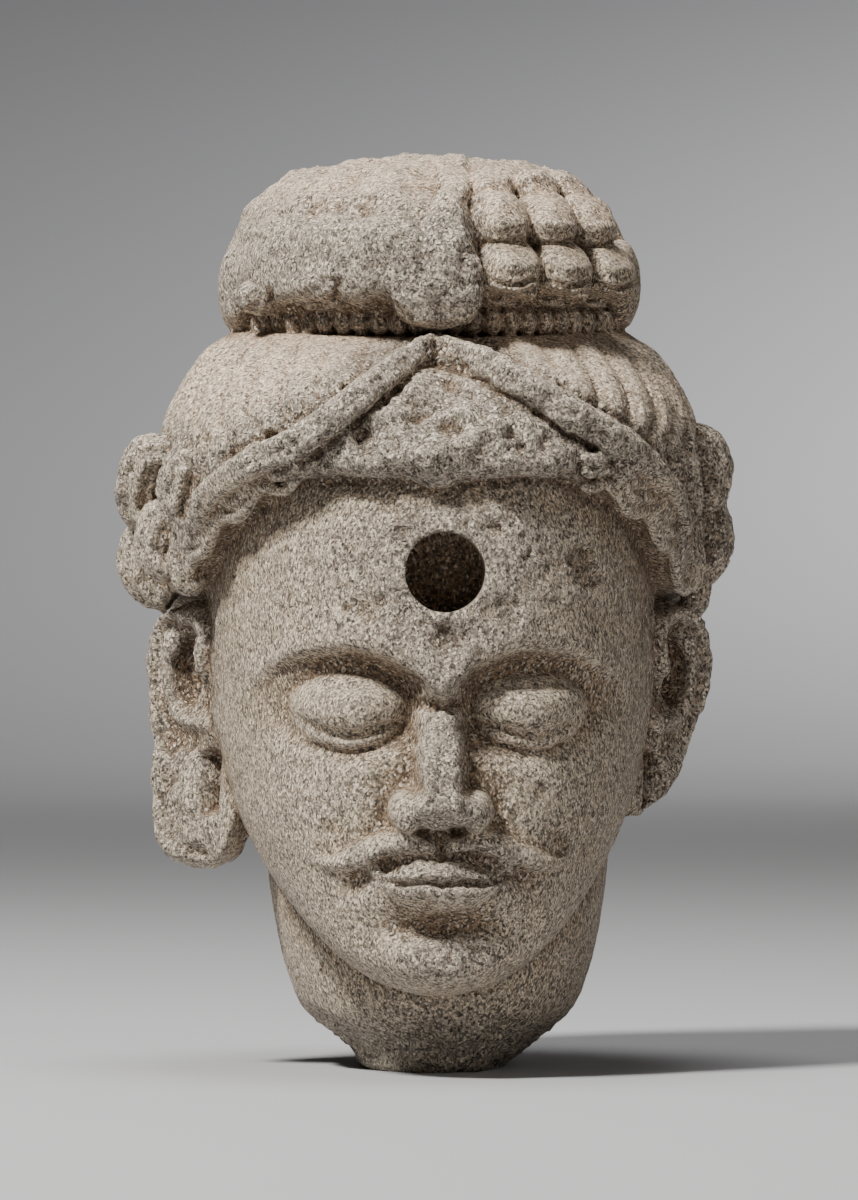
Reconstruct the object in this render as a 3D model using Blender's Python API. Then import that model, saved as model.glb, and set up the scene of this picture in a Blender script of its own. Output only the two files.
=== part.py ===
"""Bodhisattva head of carved grey schist: one stone, standing on the worn underside of its neck.

The face looks along -Y, +X is the viewer's right and +Z is up. The origin is the middle of the flat
patch that the head stands on. The carving is written in carving units, which are 385 to the head's
height, so that one unit is 1 mm at the real size. The forehead socket and the standing patch keep
their own sizes.
"""

import math

import bpy
import numpy as np

# Driving dimensions, in metres
HEIGHT = 0.385
SOCKET_DIAMETER = 0.033
SOCKET_DEPTH = 0.026
SEAT_WIDTH = 0.056
SEAT_DEPTH = 0.092
BEAD_LENGTH = 0.0078

# Fineness of the solid
UNITS_IN_HEIGHT = 385
UNIT = HEIGHT / UNITS_IN_HEIGHT
VOXEL = 2.0 * UNIT
TRIANGLES = 9300
SOCKET_SIDES = 28

# Landmarks of the head, in carving units
CHIN, SKULL_TOP = 34, 300
CAP_TOP, CAP_SHOULDER = 305, 4
KNOT_FOOT, KNOT_TOP = 314, 384
WORN_FOOT, WORN_TOP, WORN_RIGHT = 318.5, 359, -9
SOCKET_X, SOCKET_Z = 1.9, 207.7
EYE_X, EYE_Z = 37.6, 152.5
MOUTH_Z = 81
BEAD_Z = 312.0
NOSE_WORN, NOTCH_Z = 2.2, 153.5
STONE_COLOUR = (0.23, 0.21, 0.185, 1)
STONE_ROUGHNESS = 0.82


def clear_scene():
    for obj in list(bpy.data.objects):
        bpy.data.objects.remove(obj, do_unlink=True)


def smooth(start, end, at):
    """0 before start, 1 after end, with a soft turn between them."""
    t = np.clip((at - start) / (end - start), 0, 1)
    return t * t * (3 - 2 * t)


def curve(points, at):
    """Smooth curve through (place, value) pairs, with no overshoot, read at any places."""
    places, values = np.array(points, float).T
    steps = np.diff(places)
    slopes = np.diff(values) / steps
    turns = np.zeros(len(values))
    turns[0], turns[-1] = slopes[0], slopes[-1]
    same_way = slopes[:-1] * slopes[1:] > 0
    least = np.minimum(np.abs(slopes[:-1]), np.abs(slopes[1:]))
    mean = (slopes[:-1] + slopes[1:]) / 2
    turns[1:-1] = np.where(same_way, np.sign(mean) * np.minimum(np.abs(mean), 2 * least), 0)
    at = np.clip(at, places[0], places[-1])
    i = np.clip(np.searchsorted(places, at) - 1, 0, len(steps) - 1)
    t = (at - places[i]) / steps[i]
    return (
        values[i] * (1 + 2 * t) * (1 - t) ** 2
        + turns[i] * steps[i] * t * (1 - t) ** 2
        + values[i + 1] * t * t * (3 - 2 * t)
        + turns[i + 1] * steps[i] * t * t * (t - 1)
    )


def hill(x, z, centre, size):
    """Soft round hill of height 1."""
    return np.exp(-(((x - centre[0]) / size[0]) ** 2) - ((z - centre[1]) / size[1]) ** 2)


def dome(x, z, centre, size):
    """Crisp half-ellipsoid of height 1."""
    away = ((x - centre[0]) / size[0]) ** 2 + ((z - centre[1]) / size[1]) ** 2
    return np.sqrt(np.clip(1 - away, 0, None))


def route(points, count):
    """Points at even steps of a smooth curve through a few points."""
    points = np.array(points, float)
    gaps = np.linalg.norm(np.diff(points, axis=0), axis=1)
    places = np.concatenate([[0], np.cumsum(gaps)])
    at = np.linspace(0, places[-1], count)
    return np.stack([curve(np.stack([places, axis], 1), at) for axis in points.T], 1)


def nearest(path, x, z):
    """Distance from points to a path in the x-z plane, and the share of its length there."""
    best = np.full(np.shape(x), 1e9)
    share = np.zeros(np.shape(x))
    for i in range(len(path) - 1):
        a, b = path[i], path[i + 1]
        run = b - a
        t = np.clip(((x - a[0]) * run[0] + (z - a[1]) * run[1]) / (run @ run), 0, 1)
        away = np.hypot(x - a[0] - t * run[0], z - a[1] - t * run[1])
        closer = away < best
        best = np.where(closer, away, best)
        share = np.where(closer, (i + t) / (len(path) - 1), share)
    return best, share


def comb(place, pitch):
    """Rounded strands with sharp grooves between them, from 0 in a groove to 1 on a strand."""
    return np.abs(np.sin(np.pi * place / pitch)) ** 0.7


class Form:
    """Stack of rounded rings. Half width, front, back and middle depth are curves over height."""

    def __init__(self, width, front, back, middle, power=2.2):
        self.curves = (width, front, back, middle)
        self.power = power

    def sizes(self, z):
        return [curve(points, z) for points in self.curves]

    def skin(self, angle, z, out=0.0):
        """Points at angles about the upright axis, from 0 in front to +90 degrees at +X."""
        width, front, back, middle = self.sizes(z)
        side, ahead = np.sin(angle), np.cos(angle)
        bend = 2 / self.power
        depth = np.where(ahead > 0, middle - front, back - middle)
        x = width * np.sign(side) * np.abs(side) ** bend
        y = middle - depth * np.sign(ahead) * np.abs(ahead) ** bend
        return np.stack([x + out * side, y - out * ahead, z + 0 * x], -1)

    def front_at(self, x, z):
        """Depth of the front of the form at a place in the front view."""
        width, front, _, middle = self.sizes(z)
        inside = np.clip(1 - (np.abs(x) / width) ** self.power, 0, 1)
        return middle - (middle - front) * inside ** (1 / self.power)


class Stone:
    """Gathers closed skins in carving units, which become one mesh."""

    def __init__(self):
        self.points, self.faces = [], []

    def add(self, rings, caps=True):
        """Closed skin over rings of points. Without caps the last ring joins the first."""
        rows, columns = rings.shape[:2]
        place = len(self.points) + np.arange(rows * columns).reshape(rows, columns)
        above = np.roll(place, -1, axis=0)
        quads = np.stack([place, np.roll(place, -1, axis=1), np.roll(above, -1, axis=1), above], -1)
        if caps:
            self.faces += [place[0, ::-1].tolist(), place[-1].tolist()]
            quads = quads[:-1]
        self.points += rings.reshape(-1, 3).tolist()
        self.faces += quads.reshape(-1, 4).tolist()

    def tube(self, path, radii, sides=10, flat=1.0, up=(0, 1, 0)):
        """Tube along a path, flattened along the up direction by flat, with ends as its radii say."""
        ahead = np.gradient(path, axis=0)
        ahead /= np.linalg.norm(ahead, axis=1)[:, None]
        across = np.cross(ahead, up)
        across /= np.linalg.norm(across, axis=1)[:, None]
        over = np.cross(across, ahead)
        turn = np.linspace(0, 2 * np.pi, sides, endpoint=False)[None, :, None]
        radii = np.asarray(radii, float)[:, None, None]
        ring = np.cos(turn) * across[:, None] + flat * np.sin(turn) * over[:, None]
        self.add(path[:, None] + radii * ring)

    def blob(self, centre, size, tilt=0.0, power=2.0, rows=14, columns=20, relief=None):
        """Rounded lump, boxier as its power grows, turned by tilt about the upright axis."""
        rise = np.linspace(0.02, np.pi - 0.02, rows)[:, None]
        turn = np.linspace(0, 2 * np.pi, columns, endpoint=False)[None, :]
        parts = (np.sin(rise) * np.cos(turn), np.sin(rise) * np.sin(turn), -np.cos(rise) + 0 * turn)
        x, y, z = (half * np.sign(part) * np.abs(part) ** (2 / power) for half, part in zip(size, parts))
        if relief is not None:
            y = y - relief(x, z) * (y < 0) * smooth(0, 0.35, -parts[1])
        cos, sin = math.cos(tilt), math.sin(tilt)
        ring = np.stack([x * cos - y * sin, x * sin + y * cos, z], -1)
        self.add(ring + np.array(centre))


SKULL = Form(
    width=[(34, 9), (38, 22), (45, 34.5), (60, 51), (81, 67), (104, 79.5), (130, 88), (160, 93.5),
           (180, 94), (215, 95), (250, 94), (280, 86), (300, 74)],
    front=[(34, -84), (38, -94), (48, -100.5), (60, -100), (81, -100.5), (104, -99.5), (130, -98),
           (155, -98), (174, -102.5), (200, -104.5), (222, -103), (245, -98), (270, -88), (300, -60)],
    back=[(34, -62), (50, -42), (70, -8), (90, 30), (120, 62), (150, 92), (190, 108), (225, 110),
          (260, 102), (300, 82)],
    middle=[(34, -74), (50, -70), (70, -52), (90, -34), (120, -18), (150, -6), (180, 0), (300, 8)],
)
CAP = Form(
    width=[(90, 62), (130, 88), (170, 106), (205, 112), (235, 114), (250, 113.5), (264, 112), (273, 110),
           (285, 104.5), (297, 97), (303, 92), (309, 84)],
    front=[(90, -60), (205, -105), (242, -107.5), (252, -108.5), (264, -106), (278, -99), (290, -88),
           (300, -73), (309, -56)],
    back=[(90, 74), (105, 84), (130, 100), (160, 115), (200, 125), (235, 125), (264, 119), (290, 105),
          (309, 90)],
    middle=[(90, 5), (309, 12)],
)
BAND = Form(
    width=[(296, 80), (308, 78), (320, 78)],
    front=[(296, -56), (320, -58)],
    back=[(296, 88), (320, 86)],
    middle=[(296, 14), (320, 14)],
)
KNOT = Form(
    width=[(KNOT_FOOT, 74), (317, 83), (323, 87), (330, 88), (342, 85.5), (350, 82), (363, 75),
           (368, 70), (375, 59), (379.5, 42), (382, 22), (KNOT_TOP, 6)],
    front=[(KNOT_FOOT, -56), (318, -68), (330, -75), (345, -74), (356, -68), (366, -58), (374, -44),
           (380, -24), (KNOT_TOP, 2)],
    back=[(KNOT_FOOT, 84), (320, 94), (340, 98), (356, 94), (368, 82), (377, 60), (KNOT_TOP, 20)],
    middle=[(KNOT_FOOT, 14), (KNOT_TOP, 14)],
)


def eye_relief(x, z):
    """Deep-set ball with a broad lowered lid, a slit of eye and a thin lower lid, on the positive side."""
    tall = np.where(z > EYE_Z, 14.0, 17.5)
    inside = np.clip(1 - ((x - EYE_X) / 24) ** 2 - ((z - EYE_Z) / tall) ** 2, 0, 1)
    ball = 9.4 * inside ** 0.8
    upper = curve([(14, 148.0), (24, 146.4), (37, 143.4), (50, 146.0), (62, 152.0)], x)
    lower = curve([(14, 147.0), (24, 142.4), (37, 139.2), (50, 141.8), (62, 151.0)], x)
    corners = smooth(13, 18, x) * smooth(65, 58, x)
    lid = 2.6 * smooth(upper - 0.5, upper + 0.5, z) * smooth(upper + 24, upper + 10, z)
    under_lid = 1.8 * smooth(lower + 0.5, lower - 0.5, z) * smooth(lower - 8, lower - 2, z)
    crease = 1.5 * np.exp(-(((z - upper - 17 + 0.014 * (x - 38) ** 2) / 1.3) ** 2)) * smooth(14, 22, x)
    return ball + (lid + under_lid) * corners * smooth(0, 0.08, inside) - crease * smooth(64, 54, x)


def brow_relief(x, z):
    """Brow arch with the socket of the eye below it, for the positive side."""
    arch = curve([(0, 160), (8, 165), (20, 173), (38, 178), (58, 175.5), (74, 165), (88, 148)], x)
    ridge = 2.2 * np.exp(-(((z - arch) / np.where(z > arch, 12, 3.0)) ** 2)) * smooth(88, 56, x)
    deep = curve([(0, 2), (9, 5.5), (19, 8.6), (32, 7.4), (50, 4.6), (68, 1.8), (84, 0)], x)
    floor = curve([(0, 142), (20, 139), (38, 135), (60, 139), (84, 146)], x)
    hollow = smooth(arch + 1.0, arch - 6.5, z) * smooth(floor - 10, floor + 9, z)
    return ridge - deep * hollow


def nose_relief(x, z):
    """Straight nose with full wings. Its ridge is worn flat, with a notch at the top of the wear."""
    rise = curve([(99, 0), (102, 2), (104, 9), (107, 17), (112, 22), (120, 21.5), (135, 17.5), (150, 12.5),
                  (163, 8), (174, 4), (184, 0.8), (190, 0)], z)
    half = curve([(100, 13), (112, 13), (125, 12), (145, 11.5), (160, 12), (174, 17), (190, 30)], z)
    ridge = rise * np.clip(1 - (x / half) ** 2.3, 0, 1) ** 1.25
    tip = 24.0 * dome(x, z, (0, 112), (13.5, 11.5)) ** 1.25
    body = np.minimum(np.maximum(ridge, tip), rise - NOSE_WORN * smooth(156, 150, z) * smooth(103, 108, z))
    wing = 13.0 * dome(x, z, (13.6, 110.5), (8.2, 8.8)) ** 0.6
    meet = np.clip(1 - np.abs(body - wing) / 8, 0, 1) ** 2 * smooth(0, 4, np.minimum(body, wing))
    nostril = 6 * hill(x, z, (7.6, 102.6), (3.6, 2.2))
    fold = 1.6 * hill(x, z, (23.5, 110), (2.4, 8))
    notch = 3.2 * np.exp(-((x / 6) ** 4) - ((z - NOTCH_Z) / 2.4) ** 2)
    return np.maximum(body, wing) + 2.2 * meet - fold - notch - nostril


def mouth_relief(x, z):
    """Closed full lips on a softly rounded muzzle."""
    muzzle = 4.5 * hill(x, z, (0, 86), (36, 21))
    line = curve([(0, MOUTH_Z - 0.9), (6, MOUTH_Z + 0.3), (16, MOUTH_Z - 0.3), (29, MOUTH_Z + 2.2)], x)
    top = curve([(0, 89.2), (5.5, 91), (14, 89), (28, 84.4), (30, 84)], x)
    foot = curve([(0, 68.8), (10, 69.4), (19, 73.4), (28, 81.6), (30, 82.8)], x)
    upper = np.clip((z - line) / (top - line), 0, 1)
    lower = np.clip((line - z) / (line - foot), 0, 1)
    ends = smooth(31, 18, x)
    upper_lip = 5.0 * np.sin(np.pi * upper ** 0.55) ** 0.75 * ends * (z > line)
    lower_lip = 5.8 * np.sin(np.pi * lower ** 0.66) ** 0.75 * ends * (z <= line)
    groove = 2.6 * np.exp(-(((z - line) / 1.2) ** 2)) * smooth(33, 27, x)
    philtrum = 1.3 * np.exp(-((x / 3.2) ** 2)) * smooth(88, 92, z) * smooth(104, 100, z)
    corner = 2.2 * hill(x, z, (32, 82.5), (4, 4.5))
    return muzzle + upper_lip + lower_lip - groove - philtrum - corner


def moustache_relief(x, z):
    """One tapering lock to each side of the philtrum."""
    path = route([(5, 96), (14, 98.2), (25, 96), (36, 90.8), (45, 88.6), (53, 90.4)], 20)
    away, share = nearest(path, x, z)
    half = curve([(0, 3.8), (0.2, 5.8), (0.6, 5.2), (0.85, 3.2), (1, 1.1)], share)
    across = np.clip(away / half, 0, 1)
    return curve([(0, 3.0), (0.3, 5.4), (0.7, 4.8), (1, 2.0)], share) * (1 - across ** 2.4) ** 0.6


def face_relief(x, z):
    """How far the carving stands out of the plain front of the head."""
    x = np.abs(x)
    cheek = 3.4 * hill(x, z, (50, 120), (26, 24))
    fold = 1.3 * np.exp(-((nearest(np.array([(19, 112), (31, 96), (37, 78)]), x, z)[0] / 4.5) ** 2))
    under_lip = 5.4 * hill(x, z, (0, 63), (21, 5.6))
    chin = 5.0 * hill(x, z, (0, 47), (19, 11))
    face = brow_relief(x, z) + cheek - fold - under_lip + chin + mouth_relief(x, z)
    face = face + eye_relief(x, z) + moustache_relief(x, z)
    return face + nose_relief(x, z)


def add_skull(stone):
    """Skull, face and jaw, down to the chin."""
    heights = np.linspace(CHIN, SKULL_TOP, 167)[:, None]
    angle = np.linspace(-np.pi, np.pi, 240, endpoint=False)[None, :]
    angle = angle - 0.42 * np.sin(angle)
    skin = SKULL.skin(angle, heights)
    relief = face_relief(skin[..., 0], skin[..., 2]) * smooth(0.05, 0.3, np.cos(angle))
    relief = relief * smooth(250, 240, skin[..., 2])
    skin[..., 1] -= relief
    stone.add(skin)


def add_neck(stone):
    """Neck, set back under the chin, with a rounded break below it and the flat patch to stand on."""
    seat_half = SEAT_WIDTH / 2 / UNIT
    seat_deep = SEAT_DEPTH / 2 / UNIT
    neck = Form(
        width=[(-4, seat_half - 4), (0, seat_half), (3, seat_half + 4), (9, 37), (24, 56), (36, 62),
               (68, 69.5), (92, 72), (130, 74)],
        front=[(-4, 3 - seat_deep), (0, -seat_deep), (9, -49), (24, -55), (50, -58), (92, -60),
               (130, -60)],
        back=[(-4, seat_deep - 3), (0, seat_deep), (9, 58), (24, 67), (60, 72), (110, 78), (130, 80)],
        middle=[(-4, 0), (24, 4), (130, 8)],
    )
    heights = np.concatenate([np.arange(-4, 10, 1.5), np.arange(10, 130, 4)])[:, None]
    angle = np.linspace(-np.pi, np.pi, 64, endpoint=False)[None, :]
    skin = neck.skin(angle, heights)
    skin[..., 0] += 3.5 * smooth(0, 9, heights)
    stone.add(skin)


def hairline(angle):
    """Height of the lower edge of the hair round the head."""
    edge = [(0, 241.3), (10, 246), (24, 246.5), (33, 243), (44, 234.2), (56, 221.5), (69, 204), (80, 199),
            (91, 197), (98, 182), (104, 140), (114, 110), (135, 98), (180, 94)]
    return curve(edge, np.abs(np.degrees(angle)))


def wave_relief(angle, z):
    """Locks that bow out from under the topknot and fall behind the ears."""
    turn = np.abs(np.degrees(angle))
    behind = smooth(70, 110, turn)
    along = 100 * np.abs(angle)
    bow = 13 * np.sqrt(np.clip(1 - ((z - 288) / 23) ** 2, 0, 1))
    bowed = along - bow + 3 * np.sin(z / 8) * smooth(272, 255, z)
    fallen = along + 5 * np.sin(z / 13)
    front = np.where(angle > 0, 3.6, 2.2) * comb(bowed, 16.5)
    return front * (1 - behind) + 3.4 * comb(fallen, 25) * behind - 1.4


def add_cap(stone):
    """Hair cap: a shell with a rolled lower edge that stands proud of the forehead."""
    columns = np.linspace(-np.pi, np.pi, 400, endpoint=False)
    low = hairline(columns)
    top = CAP_TOP + CAP_SHOULDER * np.sin(columns) ** 2
    heights = low + np.linspace(0, 1, 60)[:, None] * (top - low)
    rolled = 9 * (1 - np.sqrt(np.clip(1 - (1 - np.clip((heights - low) / 9, 0, 1)) ** 2, 0, 1)))
    relief = wave_relief(columns, heights) * smooth(0, 14, heights - low) * smooth(0, 13, top - heights)
    front = smooth(0.8, 0.95, np.cos(columns)) * smooth(9, 35, top - heights)
    turn = np.degrees(columns)
    lumps = 1.7 * np.sin(0.34 * turn + 0.9 * np.sin(heights / 9)) * np.sin(heights / 5.2 + 0.13 * turn)
    outer = CAP.skin(columns[None, :], heights, relief * (1 - front) + (2.5 + lumps) * front - rolled)
    inner = CAP.skin(columns[None, :], heights, -30)[::-1]
    stone.add(np.concatenate([outer, inner]), caps=False)


def on_cap(points, out):
    """Route over the front of the cap through places in the front view."""
    path = route(points, 28)
    y = CAP.front_at(path[:, 0], path[:, 1])
    return np.stack([path[:, 0], y - out, path[:, 1]], 1)


def add_ropes(stone):
    """Two locks that part over the middle of the brow, and the waved edges of hair at the temples."""
    ends = np.sin(np.linspace(0.3, np.pi - 0.3, 28)) ** 0.35
    left = [(-2, 302), (-17, 292), (-31, 281), (-46, 269), (-61, 259), (-78, 251), (-93, 240), (-101, 226)]
    right = [(0, 302), (14, 296), (30, 287), (47, 277), (66, 266), (83, 255), (96, 241), (104, 226)]
    for line in (left, right):
        stone.tube(on_cap(line, 0.5), 7.2 * ends)
    for side in (-1, 1):
        for drop, out in ((2.0, 1.5), (9.0, 2.5)):
            line = []
            for turn in range(30, 78, 4):
                angle = side * math.radians(turn)
                z = float(hairline(angle)) + drop + 2.6 * math.cos(turn * 0.5 + 0.2 * drop)
                line.append(CAP.skin(np.array(angle), np.array(z), out - 4.0))
            path = route(line, 40)
            stone.tube(path, 4.6 * np.sin(np.linspace(0.3, np.pi - 0.3, 40)) ** 0.4, up=(0, 0, 1))


def add_side_curls(stone):
    """Thick wavy locks that bunch over the ears, and plainer ones behind them."""
    left = [
        (11.5, [(-104, -16, 258), (-118, -12, 255), (-122, -8, 245), (-120, -6, 235), (-110, -4, 229)]),
        (12, [(-94, -46, 258), (-103, -42, 249), (-104, -40, 237), (-98, -42, 228)]),
        (9, [(-104, -22, 236), (-115, -20, 228), (-116, -20, 217), (-108, -24, 207)]),
        (7.5, [(-97, -40, 226), (-104, -34, 216), (-103, -34, 207), (-97, -36, 201)]),
        (10.5, [(-110, 2, 228), (-119, 4, 222), (-121.5, 4, 211), (-118, 4, 203), (-108, 2, 197)]),
        (12, [(-104, 24, 262), (-114, 26, 252), (-116, 26, 240), (-112, 24, 228), (-108, 22, 214)]),
    ]
    right = [
        (11, [(102, -14, 264), (113, -10, 260), (117.5, -6, 251), (115, -6, 242), (104, -6, 237)]),
        (11, [(94, -44, 256), (102, -40, 246), (101, -40, 235), (94, -42, 227)]),
        (10.5, [(106, 2, 238), (116, 2, 232), (119, 3, 222), (115.5, 2, 212), (104, 0, 205)]),
        (8, [(98, -26, 228), (106, -24, 219), (107, -22, 209), (101, -24, 200)]),
        (6.5, [(106, -4, 210), (112.5, -2, 204), (112, -2, 197), (106, -2, 191)]),
        (12, [(104, 24, 262), (114, 26, 252), (116, 26, 240), (112, 24, 228), (108, 22, 214)]),
    ]
    for radius, points in left + right:
        taper = np.sin(np.linspace(0.5, np.pi - 0.5, 22)) ** 0.5
        stone.tube(route(points, 22), radius * taper, sides=12)
    for side in (-1, 1):
        for turn, top in ((91, 260), (104, 263), (117, 262), (131, 256)):
            heights = top - 10 * np.arange(7)
            angles = side * np.radians(turn + 5 * np.cos(np.arange(7) * 1.3))
            path = route(CAP.skin(angles, heights.astype(float), -5.5), 30)
            stone.tube(path, 11 * np.sin(np.linspace(0.4, np.pi - 0.4, 30)) ** 0.4, sides=12)


def ear_relief(u, v):
    """Front of the ear in its own plane: u from the cheek outwards, v upwards."""
    rim = route([(9, 168), (7, 182), (14, 190), (25, 191), (34, 183), (37, 165), (35.5, 148), (33, 132),
                 (31.5, 112), (29, 96), (20, 90)], 30)
    inner = route([(28, 181), (29.5, 168), (27, 155), (20, 146), (9, 145)], 16)
    away, _ = nearest(rim, u, v)
    ridge = 6.5 * np.exp(-((away / 4.6) ** 2))
    away, _ = nearest(inner, u, v)
    fold = 4.6 * np.exp(-((away / 4.0) ** 2))
    lobe = 5.5 * hill(u, v, (19, 112), (15, 22)) * smooth(140, 128, v)
    hollow = 9.5 * dome(u, v, (18.5, 167), (8.0, 15.0)) ** 0.7
    slit = 11 * np.exp(-(((u - 5.5) / 3.6) ** 2)) * smooth(105, 110, v) * smooth(135, 130, v)
    under = 2.4 * np.exp(-(((v - 91 - 0.25 * (u - 11)) / 1.7) ** 2)) * smooth(4, 9, u) * smooth(26, 20, u)
    return np.maximum(ridge, fold) + lobe - hollow - slit - under


EAR_TOP = [(172, 43), (184, 40), (191, 32), (196, 18)]
WHOLE_EAR = [(84, 20), (87, 30), (93, 36), (110, 39), (125, 38), (136, 39), (152, 42)] + EAR_TOP
BROKEN_EAR = [(106, 2), (112, 12), (120, 19), (129, 27), (142, 33), (154, 39)] + EAR_TOP


def add_ear(stone, side, outline):
    """Long ear, as a slab that stands out from the head inside an outline of (height, reach) pairs."""
    foot, top = outline[0][0], outline[-1][0]
    heights = np.linspace(foot, top, 64)[:, None]
    across = np.linspace(0, 1, 28)[None, :]
    edge = curve(outline, heights)
    root = curve([(84, 10), (88, 2), (96, -4), (110, -8), (188, -8), (196, 4)], heights)
    start = np.minimum(root, edge - 4)
    u = start + (edge - start) * across
    round_edge = np.sqrt(np.clip(1 - ((u - edge + 6) / 6).clip(0, 1) ** 2, 0, 1))
    close = smooth(foot, foot + 4, heights) * smooth(top, top - 4, heights)
    front = (ear_relief(u, heights) + 3) * round_edge * (0.35 + 0.65 * close) - 1
    back = -9 * round_edge * (0.4 + 0.6 * close) - 1
    u = np.concatenate([u, u[:, ::-1]], 1)
    w = np.concatenate([front, back[:, ::-1]], 1)
    lean = math.radians(44)
    x = 87 + u * math.sin(lean) + w * math.cos(lean)
    y = -20 + u * math.cos(lean) - w * math.sin(lean)
    z = heights + 0 * u
    if side < 0:
        x, y, z = -x[:, ::-1], y[:, ::-1], z[:, ::-1]
    stone.add(np.stack([x, y, z], -1))


def add_band(stone):
    """Recessed band under the topknot, with a ring of beads."""
    angle = np.linspace(-np.pi, np.pi, 96, endpoint=False)[None, :]
    stone.add(BAND.skin(angle, np.linspace(296, 320, 5)[:, None], -3))
    fine = np.linspace(-np.pi, np.pi, 721)
    ring = BAND.skin(fine, np.full(721, BEAD_Z))
    steps = np.linalg.norm(np.diff(ring, axis=0), axis=1)
    length = np.concatenate([[0], np.cumsum(steps)])
    pitch = BEAD_LENGTH / UNIT
    count = max(3, round(length[-1] / pitch))
    for place in np.arange(count) * length[-1] / count:
        at = np.interp(place, length, fine)
        centre = BAND.skin(np.array(at), np.array(BEAD_Z), 0)
        stone.blob(centre, (0.5 * pitch, 5.2, 5.8), tilt=at, power=2.4, rows=8, columns=10)


def knot_place(x, z, out):
    """Place on the front of the topknot."""
    return np.array([x, float(KNOT.front_at(np.array(x), np.array(float(z)))) - out, z])


def add_knot(stone):
    """Topknot: a flattened ball, with a worn left front and rows of locks on the right."""
    heights = np.linspace(KNOT_FOOT, KNOT_TOP, 48)[:, None]
    angle = np.linspace(-np.pi, np.pi, 180, endpoint=False)[None, :]
    turn = np.degrees(angle)
    below = KNOT_TOP - heights
    right = smooth(4, 14, turn) * smooth(86, 78, turn) * smooth(12, 24, below)
    behind = smooth(86, 104, np.abs(turn))
    falls = 2.0 * np.cos((turn + 4 * np.sin(heights / 9)) * 2 * np.pi / 14) * smooth(4, 18, below)
    stone.add(KNOT.skin(angle, heights, falls * behind - 8 * right))


def lock_relief(x, z):
    """Boss over a hollow at the lower left, with waved lips of strands in it and one down its right."""
    hollow = smooth(-1.0, -9.0, z - 0.1 * x) * smooth(9.0, 3.5, x)
    wave = curve([(-14, 1.0), (-7, -2.4), (0, -1.8), (5, 0.4), (9, -5.0), (13, -14)], x)
    lips = 3.0 * comb(z - wave, 4.4) * smooth(1.5, -1.5, z) * smooth(-13, -9, z)
    parting = 3.0 * np.exp(-(((x - 10.6) / 1.3) ** 2)) * smooth(6, 0, z)
    return 2.0 * hill(x, z, (-1, 2.5), (9, 5.5)) - 9.0 * hollow + lips * (0.4 + 0.6 * hollow) - parting


def add_locks(stone):
    """Rows of puffed locks round the right of the topknot, and one lock at each of its ends."""
    rows = (
        (332, 13.5, 12.0, 0.0, (29.5, 51, 70)),
        (353.5, 11.5, 11.3, 5.0, (26, 45.5, 63)),
        (368, 7, 10, 6.0, (22, 40, 54)),
    )
    for z, tall, wide, lower, places in rows:
        for x in places:
            stone.blob(knot_place(x, z, -6.5), (wide, 12.5, tall), tilt=math.atan2(x, 62), power=2.7,
                       rows=30, columns=44, relief=lambda a, b, lower=lower: lock_relief(a, b + lower))
    for x, z in ((79.5, 329), (-80, 328)):
        for y in (-6, 22):
            stone.blob((x, y, z), (9, 16, 19))


def slab(stone, x, front, z, thick):
    """Slab whose front is a grid of points, with a back that runs a thickness behind it."""
    x = np.concatenate([x, x[:, ::-1]], 1)
    y = np.concatenate([front, front[:, ::-1] + thick], 1)
    z = np.concatenate([z, z[:, ::-1]], 1)
    stone.add(np.stack([x, y, z], -1))


def add_worn_locks(stone):
    """Broken left front of the topknot, where two scallops are left of the lower locks."""
    share = np.linspace(0, 1, 26)[:, None]
    across = np.linspace(0, 1, 90)[None, :]
    x = 0.94 * curve([(0, -86), (0.5, -86), (1, -80)], share) * (1 - across) + WORN_RIGHT * across
    foot = WORN_FOOT + 7 * np.exp(-(((x + 41.5) / 2.2) ** 2)) + 7 * np.exp(-(((x + 68) / 2.2) ** 2))
    z = foot + share * (WORN_TOP - foot)
    swell = curve([(-80, 3.5), (-60, 4.5), (-30, 6.5), (WORN_RIGHT, 7.0)], x)
    rounded = np.sqrt(1 - np.clip(1 - share / 0.12, 0, 1) ** 2) * smooth(1, 0.8, share)
    lumps = 1.2 * np.sin(x / 5.5 + 0.8 * np.sin(z / 7)) * np.sin(z / 6.5 + x / 19)
    front = KNOT.front_at(x, z) - (swell + 2 + lumps) * rounded * np.clip(across / 0.1, 0, 1) ** 0.5 + 2
    slab(stone, x, front, z, 16)


def add_tongue(stone):
    """Band that comes over the topknot and ends in a broad rounded tongue in front of it."""
    heights = np.concatenate([np.linspace(308, 316, 9), np.linspace(318, KNOT_TOP, 30)])[:, None]
    across = np.linspace(-1, 1, 24)[None, :]
    left = curve([(308, -4), (310, -11), (314, -16), (325, -19.5), (342, -19.5), (352, -10), (360, -2),
                  (KNOT_TOP, 3)], heights)
    right = curve([(308, 4), (310, 10.5), (314, 15.5), (324, 19), (334, 17.5), (346, 13.5), (352, 12.5),
                   (KNOT_TOP, 15)], heights)
    x = (left + right) / 2 + across * (right - left) / 2
    middle = curve([(308, -74), (311, -79), (325, -82), (340, -81), (350, -77.5), (360, -70), (372, -54),
                    (380, -30), (KNOT_TOP, -6)], heights)
    free = np.where(across > 0, 1, smooth(KNOT_TOP - 36, KNOT_TOP - 28, heights) + (heights < WORN_FOOT))
    front = middle + x ** 2 / 160 + 4.5 * free * np.abs(across) ** 6
    slab(stone, x, front, heights + 0 * x, 16)
    stone.blob((0.5, 8, KNOT_TOP - 4.5), (9, 12, 5.5))


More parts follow.
